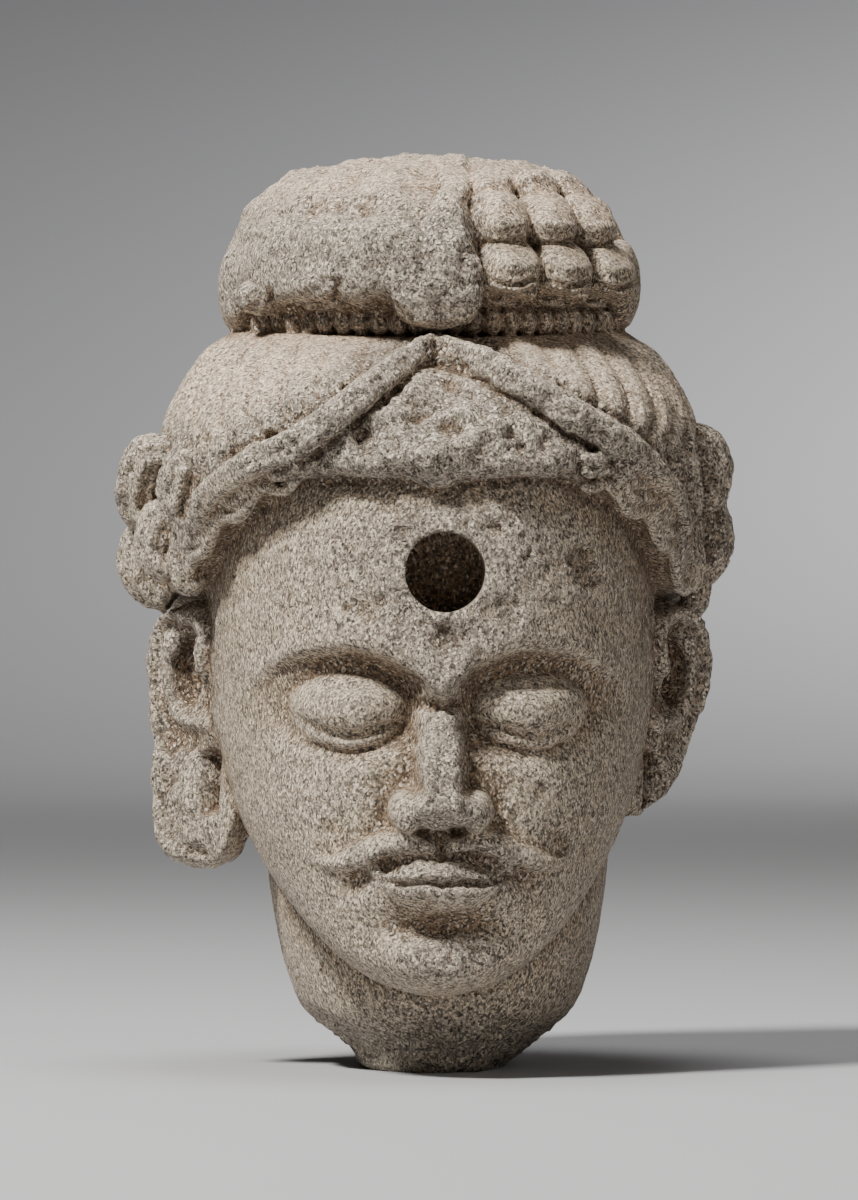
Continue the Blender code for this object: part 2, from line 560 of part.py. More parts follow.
def make_stone():
    stone = Stone()
    for add in (add_skull, add_neck, add_cap, add_ropes, add_side_curls, add_band, add_knot, add_locks,
                add_worn_locks, add_tongue):
        add(stone)
    add_ear(stone, -1, WHOLE_EAR)
    add_ear(stone, 1, BROKEN_EAR)
    return stone


def mesh_object(name, points, faces):
    mesh = bpy.data.meshes.new(name)
    mesh.from_pydata(points, [], faces)
    obj = bpy.data.objects.new(name, mesh)
    bpy.context.scene.collection.objects.link(obj)
    return obj


def cutter(name, rings):
    """Closed body that a Boolean takes away. It isn't part of the head."""
    body = Stone()
    body.add(rings)
    obj = mesh_object(name, body.points, body.faces)
    obj.hide_render = True
    obj.display_type = "WIRE"
    return obj


def socket_cutter():
    """Round hole drilled straight back into the forehead."""
    x, z = SOCKET_X * UNIT, SOCKET_Z * UNIT
    forehead = float(SKULL.front_at(np.array(SOCKET_X), np.array(SOCKET_Z))) * UNIT
    turn = np.linspace(2 * np.pi, 0, SOCKET_SIDES, endpoint=False)
    rings = []
    for y in (forehead - 0.1 * HEIGHT, forehead + SOCKET_DEPTH):
        rings.append(np.stack([x + SOCKET_DIAMETER / 2 * np.cos(turn), y + 0 * turn,
                               z + SOCKET_DIAMETER / 2 * np.sin(turn)], 1))
    return cutter("socket_cutter", np.array(rings))


def underside_cutter():
    """Block below the ground plane, which leaves the flat patch under the neck."""
    half = HEIGHT / 2
    corners = np.array([(-half, -half), (half, -half), (half, half), (-half, half)])
    rings = [np.column_stack([corners, np.full(4, z)]) for z in (-0.1 * HEIGHT, 0)]
    return cutter("underside_cutter", np.array(rings))


def stone_material():
    material = bpy.data.materials.new("schist")
    material.use_nodes = True
    shader = material.node_tree.nodes["Principled BSDF"]
    shader.inputs["Base Color"].default_value = STONE_COLOUR
    shader.inputs["Roughness"].default_value = STONE_ROUGHNESS
    shader.inputs["Metallic"].default_value = 0
    return material


def triangle_count(obj):
    graph = bpy.context.evaluated_depsgraph_get()
    mesh = obj.evaluated_get(graph).to_mesh()
    mesh.calc_loop_triangles()
    return len(mesh.loop_triangles)


def make_head():
    """One stone: the gathered skins fused, softened, thinned and cut."""
    stone = make_stone()
    head = mesh_object("bodhisattva_head", np.array(stone.points) * UNIT, stone.faces)
    head.data.materials.append(stone_material())
    fuse = head.modifiers.new("fuse", "REMESH")
    fuse.mode = "VOXEL"
    fuse.voxel_size = VOXEL
    fuse.use_smooth_shade = True
    soften = head.modifiers.new("soften", "SMOOTH")
    soften.factor = 0.5
    soften.iterations = 1
    bpy.context.view_layer.update()
    thin = head.modifiers.new("thin", "DECIMATE")
    thin.ratio = TRIANGLES / triangle_count(head)
    for name, tool in (("underside", underside_cutter()), ("socket", socket_cutter())):
        cut = head.modifiers.new(name, "BOOLEAN")
        cut.operation = "DIFFERENCE"
        cut.object = tool
    return head


clear_scene()
make_head()
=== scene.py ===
"""Looks of the bodhisattva head: one piece of weathered mica schist over the CAD solid.

The carving is written in carving units, which are 385 to the head's height, so that one unit is 1 mm at
the real size. The face looks along -Y, +X is the viewer's right, and z = 0 is the patch it stands on.
"""

import math

import bmesh
import bpy
import numpy as np
from mathutils import Matrix, Vector


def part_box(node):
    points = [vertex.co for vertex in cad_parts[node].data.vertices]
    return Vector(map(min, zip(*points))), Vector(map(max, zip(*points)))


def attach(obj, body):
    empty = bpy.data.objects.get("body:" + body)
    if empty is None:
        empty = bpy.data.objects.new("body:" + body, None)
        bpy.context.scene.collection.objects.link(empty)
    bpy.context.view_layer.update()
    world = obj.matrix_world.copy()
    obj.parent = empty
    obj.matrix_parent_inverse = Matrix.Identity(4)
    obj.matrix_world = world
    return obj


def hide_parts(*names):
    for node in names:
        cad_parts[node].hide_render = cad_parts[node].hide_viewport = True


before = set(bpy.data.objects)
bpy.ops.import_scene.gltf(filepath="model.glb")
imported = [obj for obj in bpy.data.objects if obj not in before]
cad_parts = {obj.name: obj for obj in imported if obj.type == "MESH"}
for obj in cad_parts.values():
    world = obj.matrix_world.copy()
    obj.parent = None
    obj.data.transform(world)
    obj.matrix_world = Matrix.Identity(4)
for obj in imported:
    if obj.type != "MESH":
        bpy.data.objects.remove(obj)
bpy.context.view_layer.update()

# Sizes of the object, in metres, and the carving unit that the frame's height gives
UNITS_IN_HEIGHT = 385
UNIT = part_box("bodhisattva_head")[1].z / UNITS_IN_HEIGHT
SOCKET_DIAMETER = 0.033
SOCKET_DEPTH = 0.026
SEAT_WIDTH = 0.056
SEAT_DEPTH = 0.092
BEAD_LENGTH = 0.0078

# Fineness of the piece: grid it is fused on, triangles left, and how the thinning is shared out
VOXEL = 0.85
TRIANGLES = 196000
SOCKET_SIDES = 96
THINNING_LEVELS = 16
THINNING_BIAS = 0.6

# Grid of random values that all noise is read from, and the place where reading starts
SEED = 7
LATTICE_SIDE = 64
LATTICE_START = 31.7

# Landmarks of the head, in carving units
CHIN, SKULL_TOP = 34, 300
CAP_TOP, CAP_SHOULDER = 305, 4
KNOT_FOOT, KNOT_TOP = 314, 384
WORN_FOOT, WORN_TOP, WORN_RIGHT = 318.5, 359, -9
SOCKET_X, SOCKET_Z = 1.9, 207.7
EYE_X, EYE_Z = 37.6, 152.5
MOUTH_Z = 81
BEAD_Z = 312.0
NOSE_WORN, NOTCH_Z = 3.0, 153.5
SOCKET_RADIUS = SOCKET_DIAMETER / 2 / UNIT

# Hair, in carving units: pitch of the locks in front and behind, and radii of what lies on the cap
LOCK_PITCH, BACK_PITCH = 16.5, 25
STRANDS_IN_LOCK = 4
ROPE_RADIUS, RIBBON_RADIUS = 7.6, 3.0
CURL_STRANDS, CURL_CUT = 8, 0.26
CAP_EDGE, CAP_THICKNESS = 9, 30

# Topknot: degrees from fall to fall and from strand to strand behind, and its locks, in carving units
FALL_TURN, FALL_STRAND_TURN = 14, 4.67
KNOT_RECESS = 8
LOCK_DEPTH, LOCK_SINK = 12.5, -6.5
LIP_PITCH, LIP_DEPTH = 4.2, 3.8
SLAB_THICKNESS = 16

# Ears: where their plane starts on the head, and how far it leans out
EAR_X, EAR_Y = 87, -20
EAR_LEAN = math.radians(44)

# The photograph's view
CAMERA_DISTANCE = 3.2
CAMERA_YAW = -2.5
VIEW_CENTRE = (-0.0004, 0.1963)
VIEW_HEIGHT = 0.5054
SENSOR = 36


def smooth(start, end, at):
    """0 before start, 1 after end, with a soft turn between them."""
    t = np.clip((at - start) / (end - start), 0, 1)
    return t * t * (3 - 2 * t)


def curve(points, at):
    """Smooth curve through (place, value) pairs, with no overshoot, read at any places."""
    places, values = np.array(points, float).T
    steps = np.diff(places)
    slopes = np.diff(values) / steps
    turns = np.zeros(len(values))
    turns[0], turns[-1] = slopes[0], slopes[-1]
    same_way = slopes[:-1] * slopes[1:] > 0
    least = np.minimum(np.abs(slopes[:-1]), np.abs(slopes[1:]))
    mean = (slopes[:-1] + slopes[1:]) / 2
    turns[1:-1] = np.where(same_way, np.sign(mean) * np.minimum(np.abs(mean), 2 * least), 0)
    at = np.clip(at, places[0], places[-1])
    i = np.clip(np.searchsorted(places, at) - 1, 0, len(steps) - 1)
    t = (at - places[i]) / steps[i]
    return (
        values[i] * (1 + 2 * t) * (1 - t) ** 2
        + turns[i] * steps[i] * t * (1 - t) ** 2
        + values[i + 1] * t * t * (3 - 2 * t)
        + turns[i + 1] * steps[i] * t * t * (t - 1)
    )


def bell(away, width):
    """Soft ridge of height 1 where away is 0."""
    return np.exp(-((away / width) ** 2))


def hill(x, z, centre, size):
    """Soft round hill of height 1."""
    return np.exp(-(((x - centre[0]) / size[0]) ** 2) - ((z - centre[1]) / size[1]) ** 2)


def dome(x, z, centre, size):
    """Crisp half-ellipsoid of height 1."""
    away = ((x - centre[0]) / size[0]) ** 2 + ((z - centre[1]) / size[1]) ** 2
    return np.sqrt(np.clip(1 - away, 0, None))


def around(count):
    """Angles at even steps all the way round, from behind."""
    return np.linspace(-np.pi, np.pi, count, endpoint=False)


def tapered(start, count, power):
    """Swell along a lock, 1 at its middle. Its ends are thinner with a lower start."""
    return np.sin(np.linspace(start, np.pi - start, count)) ** power


def route(points, count):
    """Points at even steps of a smooth curve through a few points."""
    points = np.array(points, float)
    gaps = np.linalg.norm(np.diff(points, axis=0), axis=1)
    places = np.concatenate([[0], np.cumsum(gaps)])
    at = np.linspace(0, places[-1], count)
    return np.stack([curve(np.stack([places, axis], 1), at) for axis in points.T], 1)


def nearest(path, x, z):
    """Distance from points to a path in the x-z plane, and the share of its length there."""
    best = np.full(np.shape(x), 1e9)
    share = np.zeros(np.shape(x))
    for i in range(len(path) - 1):
        a, b = path[i], path[i + 1]
        run = b - a
        t = np.clip(((x - a[0]) * run[0] + (z - a[1]) * run[1]) / (run @ run), 0, 1)
        away = np.hypot(x - a[0] - t * run[0], z - a[1] - t * run[1])
        closer = away < best
        best = np.where(closer, away, best)
        share = np.where(closer, (i + t) / (len(path) - 1), share)
    return best, share


LATTICE = np.random.default_rng(SEED).random((LATTICE_SIDE, LATTICE_SIDE, LATTICE_SIDE))


def noise(points, size, shift=0.0):
    """Smooth noise from -1 to 1, with features of the given size in carving units."""
    at = points / size + LATTICE_START + shift
    low = np.floor(at).astype(int)
    t = at - low
    t = t * t * (3 - 2 * t)
    total = np.zeros(len(points))
    for corner in range(8):
        step = np.array([corner & 1, corner >> 1 & 1, corner >> 2 & 1])
        share = np.prod(np.where(step, t, 1 - t), axis=1)
        i, j, k = ((low + step) % LATTICE_SIDE).T
        total += share * LATTICE[i, j, k]
    return 2 * total - 1


def comb(place, pitch, power=0.7):
    """Rounded strands, from 0 in a groove to 1 on a strand. Grooves are wider with a higher power."""
    return np.abs(np.sin(np.pi * place / pitch)) ** power


class Form:
    """Stack of rounded rings. Half width, front, back and middle depth are curves over height."""

    def __init__(self, width, front, back, middle, power=2.2):
        self.curves = (width, front, back, middle)
        self.power = power

    def sizes(self, z):
        return [curve(points, z) for points in self.curves]

    def skin(self, angle, z, out=0.0):
        """Points at angles about the upright axis, from 0 in front to +90 degrees at +X."""
        width, front, back, middle = self.sizes(z)
        side, ahead = np.sin(angle), np.cos(angle)
        bend = 2 / self.power
        depth = np.where(ahead > 0, middle - front, back - middle)
        x = width * np.sign(side) * np.abs(side) ** bend
        y = middle - depth * np.sign(ahead) * np.abs(ahead) ** bend
        return np.stack([x + out * side, y - out * ahead, z + 0 * x], -1)

    def front_at(self, x, z):
        """Depth of the front of the form at a place in the front view."""
        width, front, _, middle = self.sizes(z)
        inside = np.clip(1 - (np.abs(x) / width) ** self.power, 0, 1)
        return middle - (middle - front) * inside ** (1 / self.power)


class Stone:
    """Gathers closed skins in carving units, which become one mesh."""

    def __init__(self):
        self.points, self.faces = [], []

    def add(self, rings, caps=True):
        """Closed skin over rings of points. Without caps the last ring joins the first."""
        rows, columns = rings.shape[:2]
        place = len(self.points) + np.arange(rows * columns).reshape(rows, columns)
        above = np.roll(place, -1, axis=0)
        quads = np.stack([place, np.roll(place, -1, axis=1), np.roll(above, -1, axis=1), above], -1)
        if caps:
            self.faces += [place[0, ::-1].tolist(), place[-1].tolist()]
            quads = quads[:-1]
        self.points += rings.reshape(-1, 3).tolist()
        self.faces += quads.reshape(-1, 4).tolist()

    def tube(self, path, radii, sides=36, up=(0, 1, 0), strands=0, cut=0.14, twist=1.2):
        """Tube along a path. Strands run along it with grooves between them, and twist as they go."""
        ahead = np.gradient(path, axis=0)
        ahead /= np.linalg.norm(ahead, axis=1)[:, None]
        across = np.cross(ahead, up)
        across /= np.linalg.norm(across, axis=1)[:, None]
        over = np.cross(across, ahead)
        turn = np.linspace(0, 2 * np.pi, sides, endpoint=False)[None, :, None]
        radii = np.asarray(radii, float)[:, None, None]
        along = np.linspace(0, twist, len(path))[:, None, None]
        if strands:
            radii = radii * (1 - cut * (1 - comb(turn + along, 2 * np.pi / strands)))
        ring = np.cos(turn) * across[:, None] + np.sin(turn) * over[:, None]
        self.add(path[:, None] + radii * ring)

    def blob(self, centre, size, tilt=0.0, power=2.0, rows=70, columns=110, relief=None):
        """Rounded lump, boxier as its power grows, turned by tilt, with relief cut into its front."""
        rise = np.linspace(0.02, np.pi - 0.02, rows)[:, None]
        turn = np.linspace(0, 2 * np.pi, columns, endpoint=False)[None, :]
        parts = (np.sin(rise) * np.cos(turn), np.sin(rise) * np.sin(turn), -np.cos(rise) + 0 * turn)
        x, y, z = (half * np.sign(part) * np.abs(part) ** (2 / power) for half, part in zip(size, parts))
        if relief is not None:
            y = y - relief(x, z) * (y < 0) * smooth(0, 0.35, -parts[1])
        cos, sin = math.cos(tilt), math.sin(tilt)
        ring = np.stack([x * cos - y * sin, x * sin + y * cos, z], -1)
        self.add(ring + np.array(centre))


SKULL = Form(
    width=[(34, 9), (38, 22), (45, 34.5), (60, 51), (81, 67), (104, 79.5), (130, 88), (160, 93.5),
           (180, 94), (215, 95), (250, 94), (280, 86), (300, 74)],
    front=[(34, -84), (38, -94), (48, -100.5), (60, -100), (81, -100.5), (104, -99.5), (130, -98),
           (155, -98), (174, -102.5), (200, -104.5), (222, -103), (245, -98), (270, -88), (300, -60)],
    back=[(34, -62), (50, -42), (70, -8), (90, 30), (120, 62), (150, 92), (190, 108), (225, 110),
          (260, 102), (300, 82)],
    middle=[(34, -74), (50, -70), (70, -52), (90, -34), (120, -18), (150, -6), (180, 0), (300, 8)],
)
CAP = Form(
    width=[(90, 62), (130, 88), (170, 106), (205, 112), (235, 114), (250, 113.5), (264, 112), (273, 110),
           (285, 104.5), (297, 97), (303, 92), (309, 84)],
    front=[(90, -60), (205, -105), (242, -107.5), (252, -108.5), (264, -106), (278, -99), (290, -88),
           (300, -73), (309, -56)],
    back=[(90, 74), (105, 84), (130, 100), (160, 115), (200, 125), (235, 125), (264, 119), (290, 105),
          (309, 90)],
    middle=[(90, 5), (309, 12)],
)
BAND = Form(
    width=[(296, 80), (308, 78), (320, 78)],
    front=[(296, -56), (320, -58)],
    back=[(296, 88), (320, 86)],
    middle=[(296, 14), (320, 14)],
)
KNOT = Form(
    width=[(KNOT_FOOT, 74), (317, 83), (323, 87), (330, 88), (342, 85.5), (350, 82), (363, 75),
           (368, 70), (375, 59), (379.5, 42), (382, 22), (KNOT_TOP, 6)],
    front=[(KNOT_FOOT, -56), (318, -68), (330, -75), (345, -74), (356, -68), (366, -58), (374, -44),
           (380, -24), (KNOT_TOP, 2)],
    back=[(KNOT_FOOT, 84), (320, 94), (340, 98), (356, 94), (368, 82), (377, 60), (KNOT_TOP, 20)],
    middle=[(KNOT_FOOT, 14), (KNOT_TOP, 14)],
)


def eye_relief(x, z):
    """Deep-set ball with a broad lowered lid, a slit of eye and a thin lower lid, for x above 0."""
    tall = np.where(z > EYE_Z, 14.0, 17.5)
    inside = np.clip(1 - ((x - EYE_X) / 24) ** 2 - ((z - EYE_Z) / tall) ** 2, 0, 1)
    ball = 9.4 * inside ** 0.8
    upper = curve([(14, 148.0), (24, 146.4), (37, 143.4), (50, 146.0), (62, 152.0)], x)
    lower = curve([(14, 147.0), (24, 142.4), (37, 139.2), (50, 141.8), (62, 151.0)], x)
    corners = smooth(13, 18, x) * smooth(65, 58, x)
    lid = 2.6 * smooth(upper - 0.5, upper + 0.5, z) * smooth(upper + 24, upper + 10, z)
    under_lid = 1.8 * smooth(lower + 0.5, lower - 0.5, z) * smooth(lower - 8, lower - 2, z)
    crease = 1.5 * bell(z - upper - 17 + 0.014 * (x - 38) ** 2, 1.3) * smooth(14, 22, x)
    return ball + (lid + under_lid) * corners * smooth(0, 0.08, inside) - crease * smooth(64, 54, x)


def brow_relief(x, z):
    """Brow arch with the socket of the eye below it, for x above 0."""
    arch = curve([(0, 160), (8, 165), (20, 173), (38, 178), (58, 175.5), (74, 165), (88, 148)], x)
    ridge = 2.2 * bell(z - arch, np.where(z > arch, 12, 3.0)) * smooth(88, 56, x)
    deep = curve([(0, 2), (9, 5.5), (19, 8.6), (32, 7.4), (50, 4.6), (68, 1.8), (84, 0)], x)
    floor = curve([(0, 142), (20, 139), (38, 135), (60, 139), (84, 146)], x)
    hollow = smooth(arch + 1.0, arch - 6.5, z) * smooth(floor - 10, floor + 9, z)
    return ridge - deep * hollow


def nose_relief(x, z):
    """Straight nose with full wings. Its ridge is worn flat, with a notch at the top of the wear."""
    rise = curve([(99, 0), (102, 2), (104, 9), (107, 17), (112, 22), (120, 21.5), (135, 17.5),
                  (150, 12.5), (163, 8), (174, 4), (184, 0.8), (190, 0)], z)
    half = curve([(100, 13), (112, 13), (125, 12), (145, 11.5), (160, 12), (174, 17), (190, 30)], z)
    ridge = rise * np.clip(1 - (x / half) ** 2.3, 0, 1) ** 1.25
    tip = 24.0 * dome(x, z, (0, 112), (13.5, 11.5)) ** 1.25
    worn = NOSE_WORN * smooth(156, 150, z) * smooth(103, 108, z)
    body = np.minimum(np.maximum(ridge, tip), rise - worn)
    wing = 13.0 * dome(x, z, (13.6, 110.5), (8.2, 8.8)) ** 0.6
    meet = np.clip(1 - np.abs(body - wing) / 8, 0, 1) ** 2 * smooth(0, 4, np.minimum(body, wing))
    nostril = 6 * hill(x, z, (7.6, 102.6), (3.6, 2.2))
    fold = 1.6 * hill(x, z, (23.5, 110), (2.4, 8))
    notch = 7.2 * np.exp(-((x / 8.5) ** 4) - ((z - NOTCH_Z) / 2.9) ** 4)
    return np.maximum(body, wing) + 2.2 * meet - fold - notch - nostril


def mouth_relief(x, z):
    """Closed full lips on a softly rounded muzzle."""
    muzzle = 4.5 * hill(x, z, (0, 86), (36, 21))
    line = curve([(0, MOUTH_Z - 0.9), (6, MOUTH_Z + 0.3), (16, MOUTH_Z - 0.3), (29, MOUTH_Z + 2.2)], x)
    top = curve([(0, 89.2), (5.5, 91), (14, 89), (28, 84.4), (30, 84)], x)
    foot = curve([(0, 68.8), (10, 69.4), (19, 73.4), (28, 81.6), (30, 82.8)], x)
    upper = np.clip((z - line) / (top - line), 0, 1)
    lower = np.clip((line - z) / (line - foot), 0, 1)
    ends = smooth(31, 18, x)
    upper_lip = 5.0 * np.sin(np.pi * upper ** 0.55) ** 0.75 * ends * (z > line)
    lower_lip = 5.8 * np.sin(np.pi * lower ** 0.66) ** 0.75 * ends * (z <= line)
    groove = 2.6 * bell(z - line, 1.2) * smooth(33, 27, x)
    philtrum = 1.3 * bell(x, 3.2) * smooth(88, 92, z) * smooth(104, 100, z)
    corner = 2.2 * hill(x, z, (32, 82.5), (4, 4.5))
    return muzzle + upper_lip + lower_lip - groove - philtrum - corner


def moustache_relief(x, z):
    """One tapering lock to each side of the philtrum."""
    path = route([(5, 96), (14, 98.2), (25, 96), (36, 90.8), (45, 88.6), (53, 90.4)], 20)
    away, share = nearest(path, x, z)
    half = curve([(0, 3.8), (0.2, 5.8), (0.6, 5.2), (0.85, 3.2), (1, 1.1)], share)
    across = np.clip(away / half, 0, 1)
    return curve([(0, 3.0), (0.3, 5.4), (0.7, 4.8), (1, 2.0)], share) * (1 - across ** 2.4) ** 0.6


def face_relief(x, z):
    """How far the carving stands out of the plain front of the head."""
    x = np.abs(x)
    cheek = 3.4 * hill(x, z, (50, 120), (26, 24))
    away, _ = nearest(np.array([(19, 112), (31, 96), (37, 78)]), x, z)
    fold = 1.3 * bell(away, 4.5)
    under_lip = 5.4 * hill(x, z, (0, 63), (21, 5.6))
    chin = 5.0 * hill(x, z, (0, 47), (19, 11))
    face = brow_relief(x, z) + cheek - fold - under_lip + chin + mouth_relief(x, z)
    face = face + eye_relief(x, z) + moustache_relief(x, z)
    return face + nose_relief(x, z)


def add_skull(stone):
    """Skull, face and jaw, down to the chin."""
    heights = np.linspace(CHIN, SKULL_TOP, 330)[:, None]
    angle = around(620)[None, :]
    angle = angle - 0.42 * np.sin(angle)  # closer columns in front, for the face
    skin = SKULL.skin(angle, heights)
    relief = face_relief(skin[..., 0], skin[..., 2]) * smooth(0.05, 0.3, np.cos(angle))
    relief = relief * smooth(250, 240, skin[..., 2])
    skin[..., 1] -= relief
    stone.add(skin)


def add_neck(stone):
    """Neck, set back under the chin, with a rounded break below it and the flat patch to stand on."""
    seat_half = SEAT_WIDTH / 2 / UNIT
    seat_deep = SEAT_DEPTH / 2 / UNIT
    neck = Form(
        width=[(-4, seat_half - 4), (0, seat_half), (3, seat_half + 4), (9, 37), (24, 56), (36, 62),
               (68, 69.5), (92, 72), (130, 74)],
        front=[(-4, 3 - seat_deep), (0, -seat_deep), (9, -49), (24, -55), (50, -58), (92, -60),
               (130, -60)],
        back=[(-4, seat_deep - 3), (0, seat_deep), (9, 58), (24, 67), (60, 72), (110, 78), (130, 80)],
        middle=[(-4, 0), (24, 4), (130, 8)],
    )
    heights = np.linspace(-4, 130, 134)[:, None]
    angle = around(300)[None, :]
    skin = neck.skin(angle, heights)
    skin[..., 0] += 3.5 * smooth(0, 9, heights)
    stone.add(skin)


def hairline(angle):
    """Height of the lower edge of the hair round the head."""
    edge = [(0, 241.3), (10, 246), (24, 246.5), (33, 243), (44, 234.2), (56, 221.5), (69, 204),
            (80, 199), (91, 197), (98, 182), (104, 140), (114, 110), (135, 98), (180, 94)]
    return curve(edge, np.abs(np.degrees(angle)))


def wave_relief(angle, z):
    """Locks that bow out from under the topknot, each combed into strands, and fall behind the ears."""
    turn = np.abs(np.degrees(angle))
    behind = smooth(70, 110, turn)
    along = 100 * np.abs(angle)
    bow = 13 * np.sqrt(np.clip(1 - ((z - 288) / 23) ** 2, 0, 1))
    bowed = along - bow + 3 * np.sin(z / 8) * smooth(272, 255, z)
    fallen = along + 5 * np.sin(z / 13)
    deep = np.where(angle > 0, 3.8, 3.0)
    front = deep * comb(bowed, LOCK_PITCH) + 2.0 * comb(bowed, LOCK_PITCH / STRANDS_IN_LOCK, 1.3)
    back = 3.0 * comb(fallen, BACK_PITCH) + 1.5 * comb(fallen, BACK_PITCH / STRANDS_IN_LOCK)
    return front * (1 - behind) + back * behind - 2.2


def brow_lumps(angle, z):
    """Rough lumps of the mass of hair between the two parted locks and the forehead."""
    turn = np.degrees(angle)
    lumps = 2.0 * np.sin(0.34 * turn + 0.9 * np.sin(z / 9)) * np.sin(z / 5.2 + 0.13 * turn)
    return lumps + 1.2 * np.sin(0.8 * turn + 1.4 * np.sin(z / 5)) * np.sin(z / 3.1 + 0.3 * turn)


# Courses of the two parted locks over the cap, in the front view
ROPE_LEFT = [(-101, 226), (-93, 240), (-78, 251), (-61, 259), (-46, 269), (-31, 281), (-17, 292),
             (-2, 302)]
ROPE_RIGHT = [(0, 302), (14, 296), (30, 287), (47, 277), (66, 266), (83, 255), (96, 241), (104, 226)]


def add_cap(stone):
    """Hair cap: a shell with a rolled lower edge that stands proud of the forehead."""
    columns = around(720)
    low = hairline(columns)
    top = CAP_TOP + CAP_SHOULDER * np.sin(columns) ** 2
    heights = low + np.linspace(0, 1, 200)[:, None] * (top - low)
    up_edge = np.clip((heights - low) / CAP_EDGE, 0, 1)
    rolled = CAP_EDGE * (1 - np.sqrt(np.clip(1 - (1 - up_edge) ** 2, 0, 1)))
    relief = wave_relief(columns, heights) * smooth(0, 10, heights - low) * smooth(0, 9, top - heights)
    x = CAP.skin(columns[None, :], heights)[..., 0]
    under = curve(ROPE_LEFT + ROPE_RIGHT[1:], x) - heights
    ahead = smooth(0.1, 0.4, np.cos(columns))
    brow = smooth(3, 7, under) * ahead * smooth(84, 70, np.abs(x))
    parting = 3.2 * bell(under - 9.0, 1.7) * ahead * smooth(84, 66, np.abs(x))
    parting += 2.4 * bell(under + 9.0, 1.7) * ahead * smooth(90, 80, np.abs(x))
    turn = np.abs(np.degrees(columns))
    temple = smooth(27, 33, turn) * smooth(82, 76, turn)
    relief = relief * (1 - brow) + (brow_lumps(columns, heights) - 0.5) * brow - parting
    relief = relief - 3.2 * temple * bell(heights - low - 5.5, 1.7)
    outer = CAP.skin(columns[None, :], heights, relief - rolled)
    inner = CAP.skin(columns[None, :], heights, -CAP_THICKNESS)[::-1]
    stone.add(np.concatenate([outer, inner]), caps=False)


def on_cap(points, out, count):
    """Route over the front of the cap through places in the front view."""
    path = route(points, count)
    y = CAP.front_at(path[:, 0], path[:, 1])
    return np.stack([path[:, 0], y - out, path[:, 1]], 1)


def add_ropes(stone):
    """Two locks that part over the middle of the brow, and the waved edges of hair at the temples."""
    ends = tapered(0.3, 120, 0.35)
    for line in (ROPE_LEFT[::-1], ROPE_RIGHT):
        path = on_cap(line, 2.6, len(ends))
        stone.tube(path, ROPE_RADIUS * ends, sides=80, strands=4, cut=0.3, twist=0.3)
    ends = RIBBON_RADIUS * tapered(0.3, 200, 0.4)
    for side in (-1, 1):
        for drop, out in ((0.5, 1.5), (6.5, 3.0), (12.5, 4.0)):
            line = []
            for turn in range(29, 79, 2):
                angle = side * math.radians(turn)
                z = float(hairline(angle)) + drop + 2.8 * math.cos(turn * 0.5 + 0.5 * side)
                line.append(CAP.skin(np.array(angle), np.array(z), out - 4.0))
            stone.tube(route(line, len(ends)), ends, up=(0, 0, 1), sides=24)


def add_side_curls(stone):
    """Thick wavy locks that bunch over the ears, and plainer ones behind them."""
    left = [
        (11.5, [(-104, -16, 258), (-118, -12, 255), (-122, -8, 245), (-120, -6, 235), (-110, -4, 229)]),
        (12, [(-94, -46, 258), (-103, -42, 249), (-104, -40, 237), (-98, -42, 228)]),
        (9, [(-104, -22, 236), (-115, -20, 228), (-116, -20, 217), (-108, -24, 207)]),
        (7.5, [(-97, -40, 226), (-104, -34, 216), (-103, -34, 207), (-97, -36, 201)]),
        (10.5, [(-110, 2, 228), (-119, 4, 222), (-121.5, 4, 211), (-118, 4, 203), (-108, 2, 197)]),
    ]
    right = [
        (11, [(102, -14, 264), (113, -10, 260), (117.5, -6, 251), (115, -6, 242), (104, -6, 237)]),
        (11, [(94, -44, 256), (102, -40, 246), (101, -40, 235), (94, -42, 227)]),
        (10.5, [(106, 2, 238), (116, 2, 232), (119, 3, 222), (115.5, 2, 212), (104, 0, 205)]),
        (8, [(98, -26, 228), (106, -24, 219), (107, -22, 209), (101, -24, 200)]),
        (6.5, [(106, -4, 210), (112.5, -2, 204), (112, -2, 197), (106, -2, 191)]),
    ]
    behind = [(104, 24, 262), (114, 26, 252), (116, 26, 240), (112, 24, 228), (108, 22, 214)]
    left.append((12, [(-x, y, z) for x, y, z in behind]))
    right.append((12, behind))
    for radius, points in left + right:
        taper = tapered(0.5, 80, 0.5)
        path = route(points, len(taper))
        stone.tube(path, radius * taper, sides=84, strands=CURL_STRANDS, cut=CURL_CUT)
    for side in (-1, 1):
        for turn, top in ((91, 260), (104, 263), (117, 262), (131, 256)):
            heights = top - 10 * np.arange(7)
            angles = side * np.radians(turn + 5 * np.cos(np.arange(7) * 1.3))
            swell = 11 * tapered(0.4, 110, 0.4)
            path = route(CAP.skin(angles, heights.astype(float), -5.5), len(swell))
            stone.tube(path, swell, sides=84, strands=CURL_STRANDS, cut=CURL_CUT)


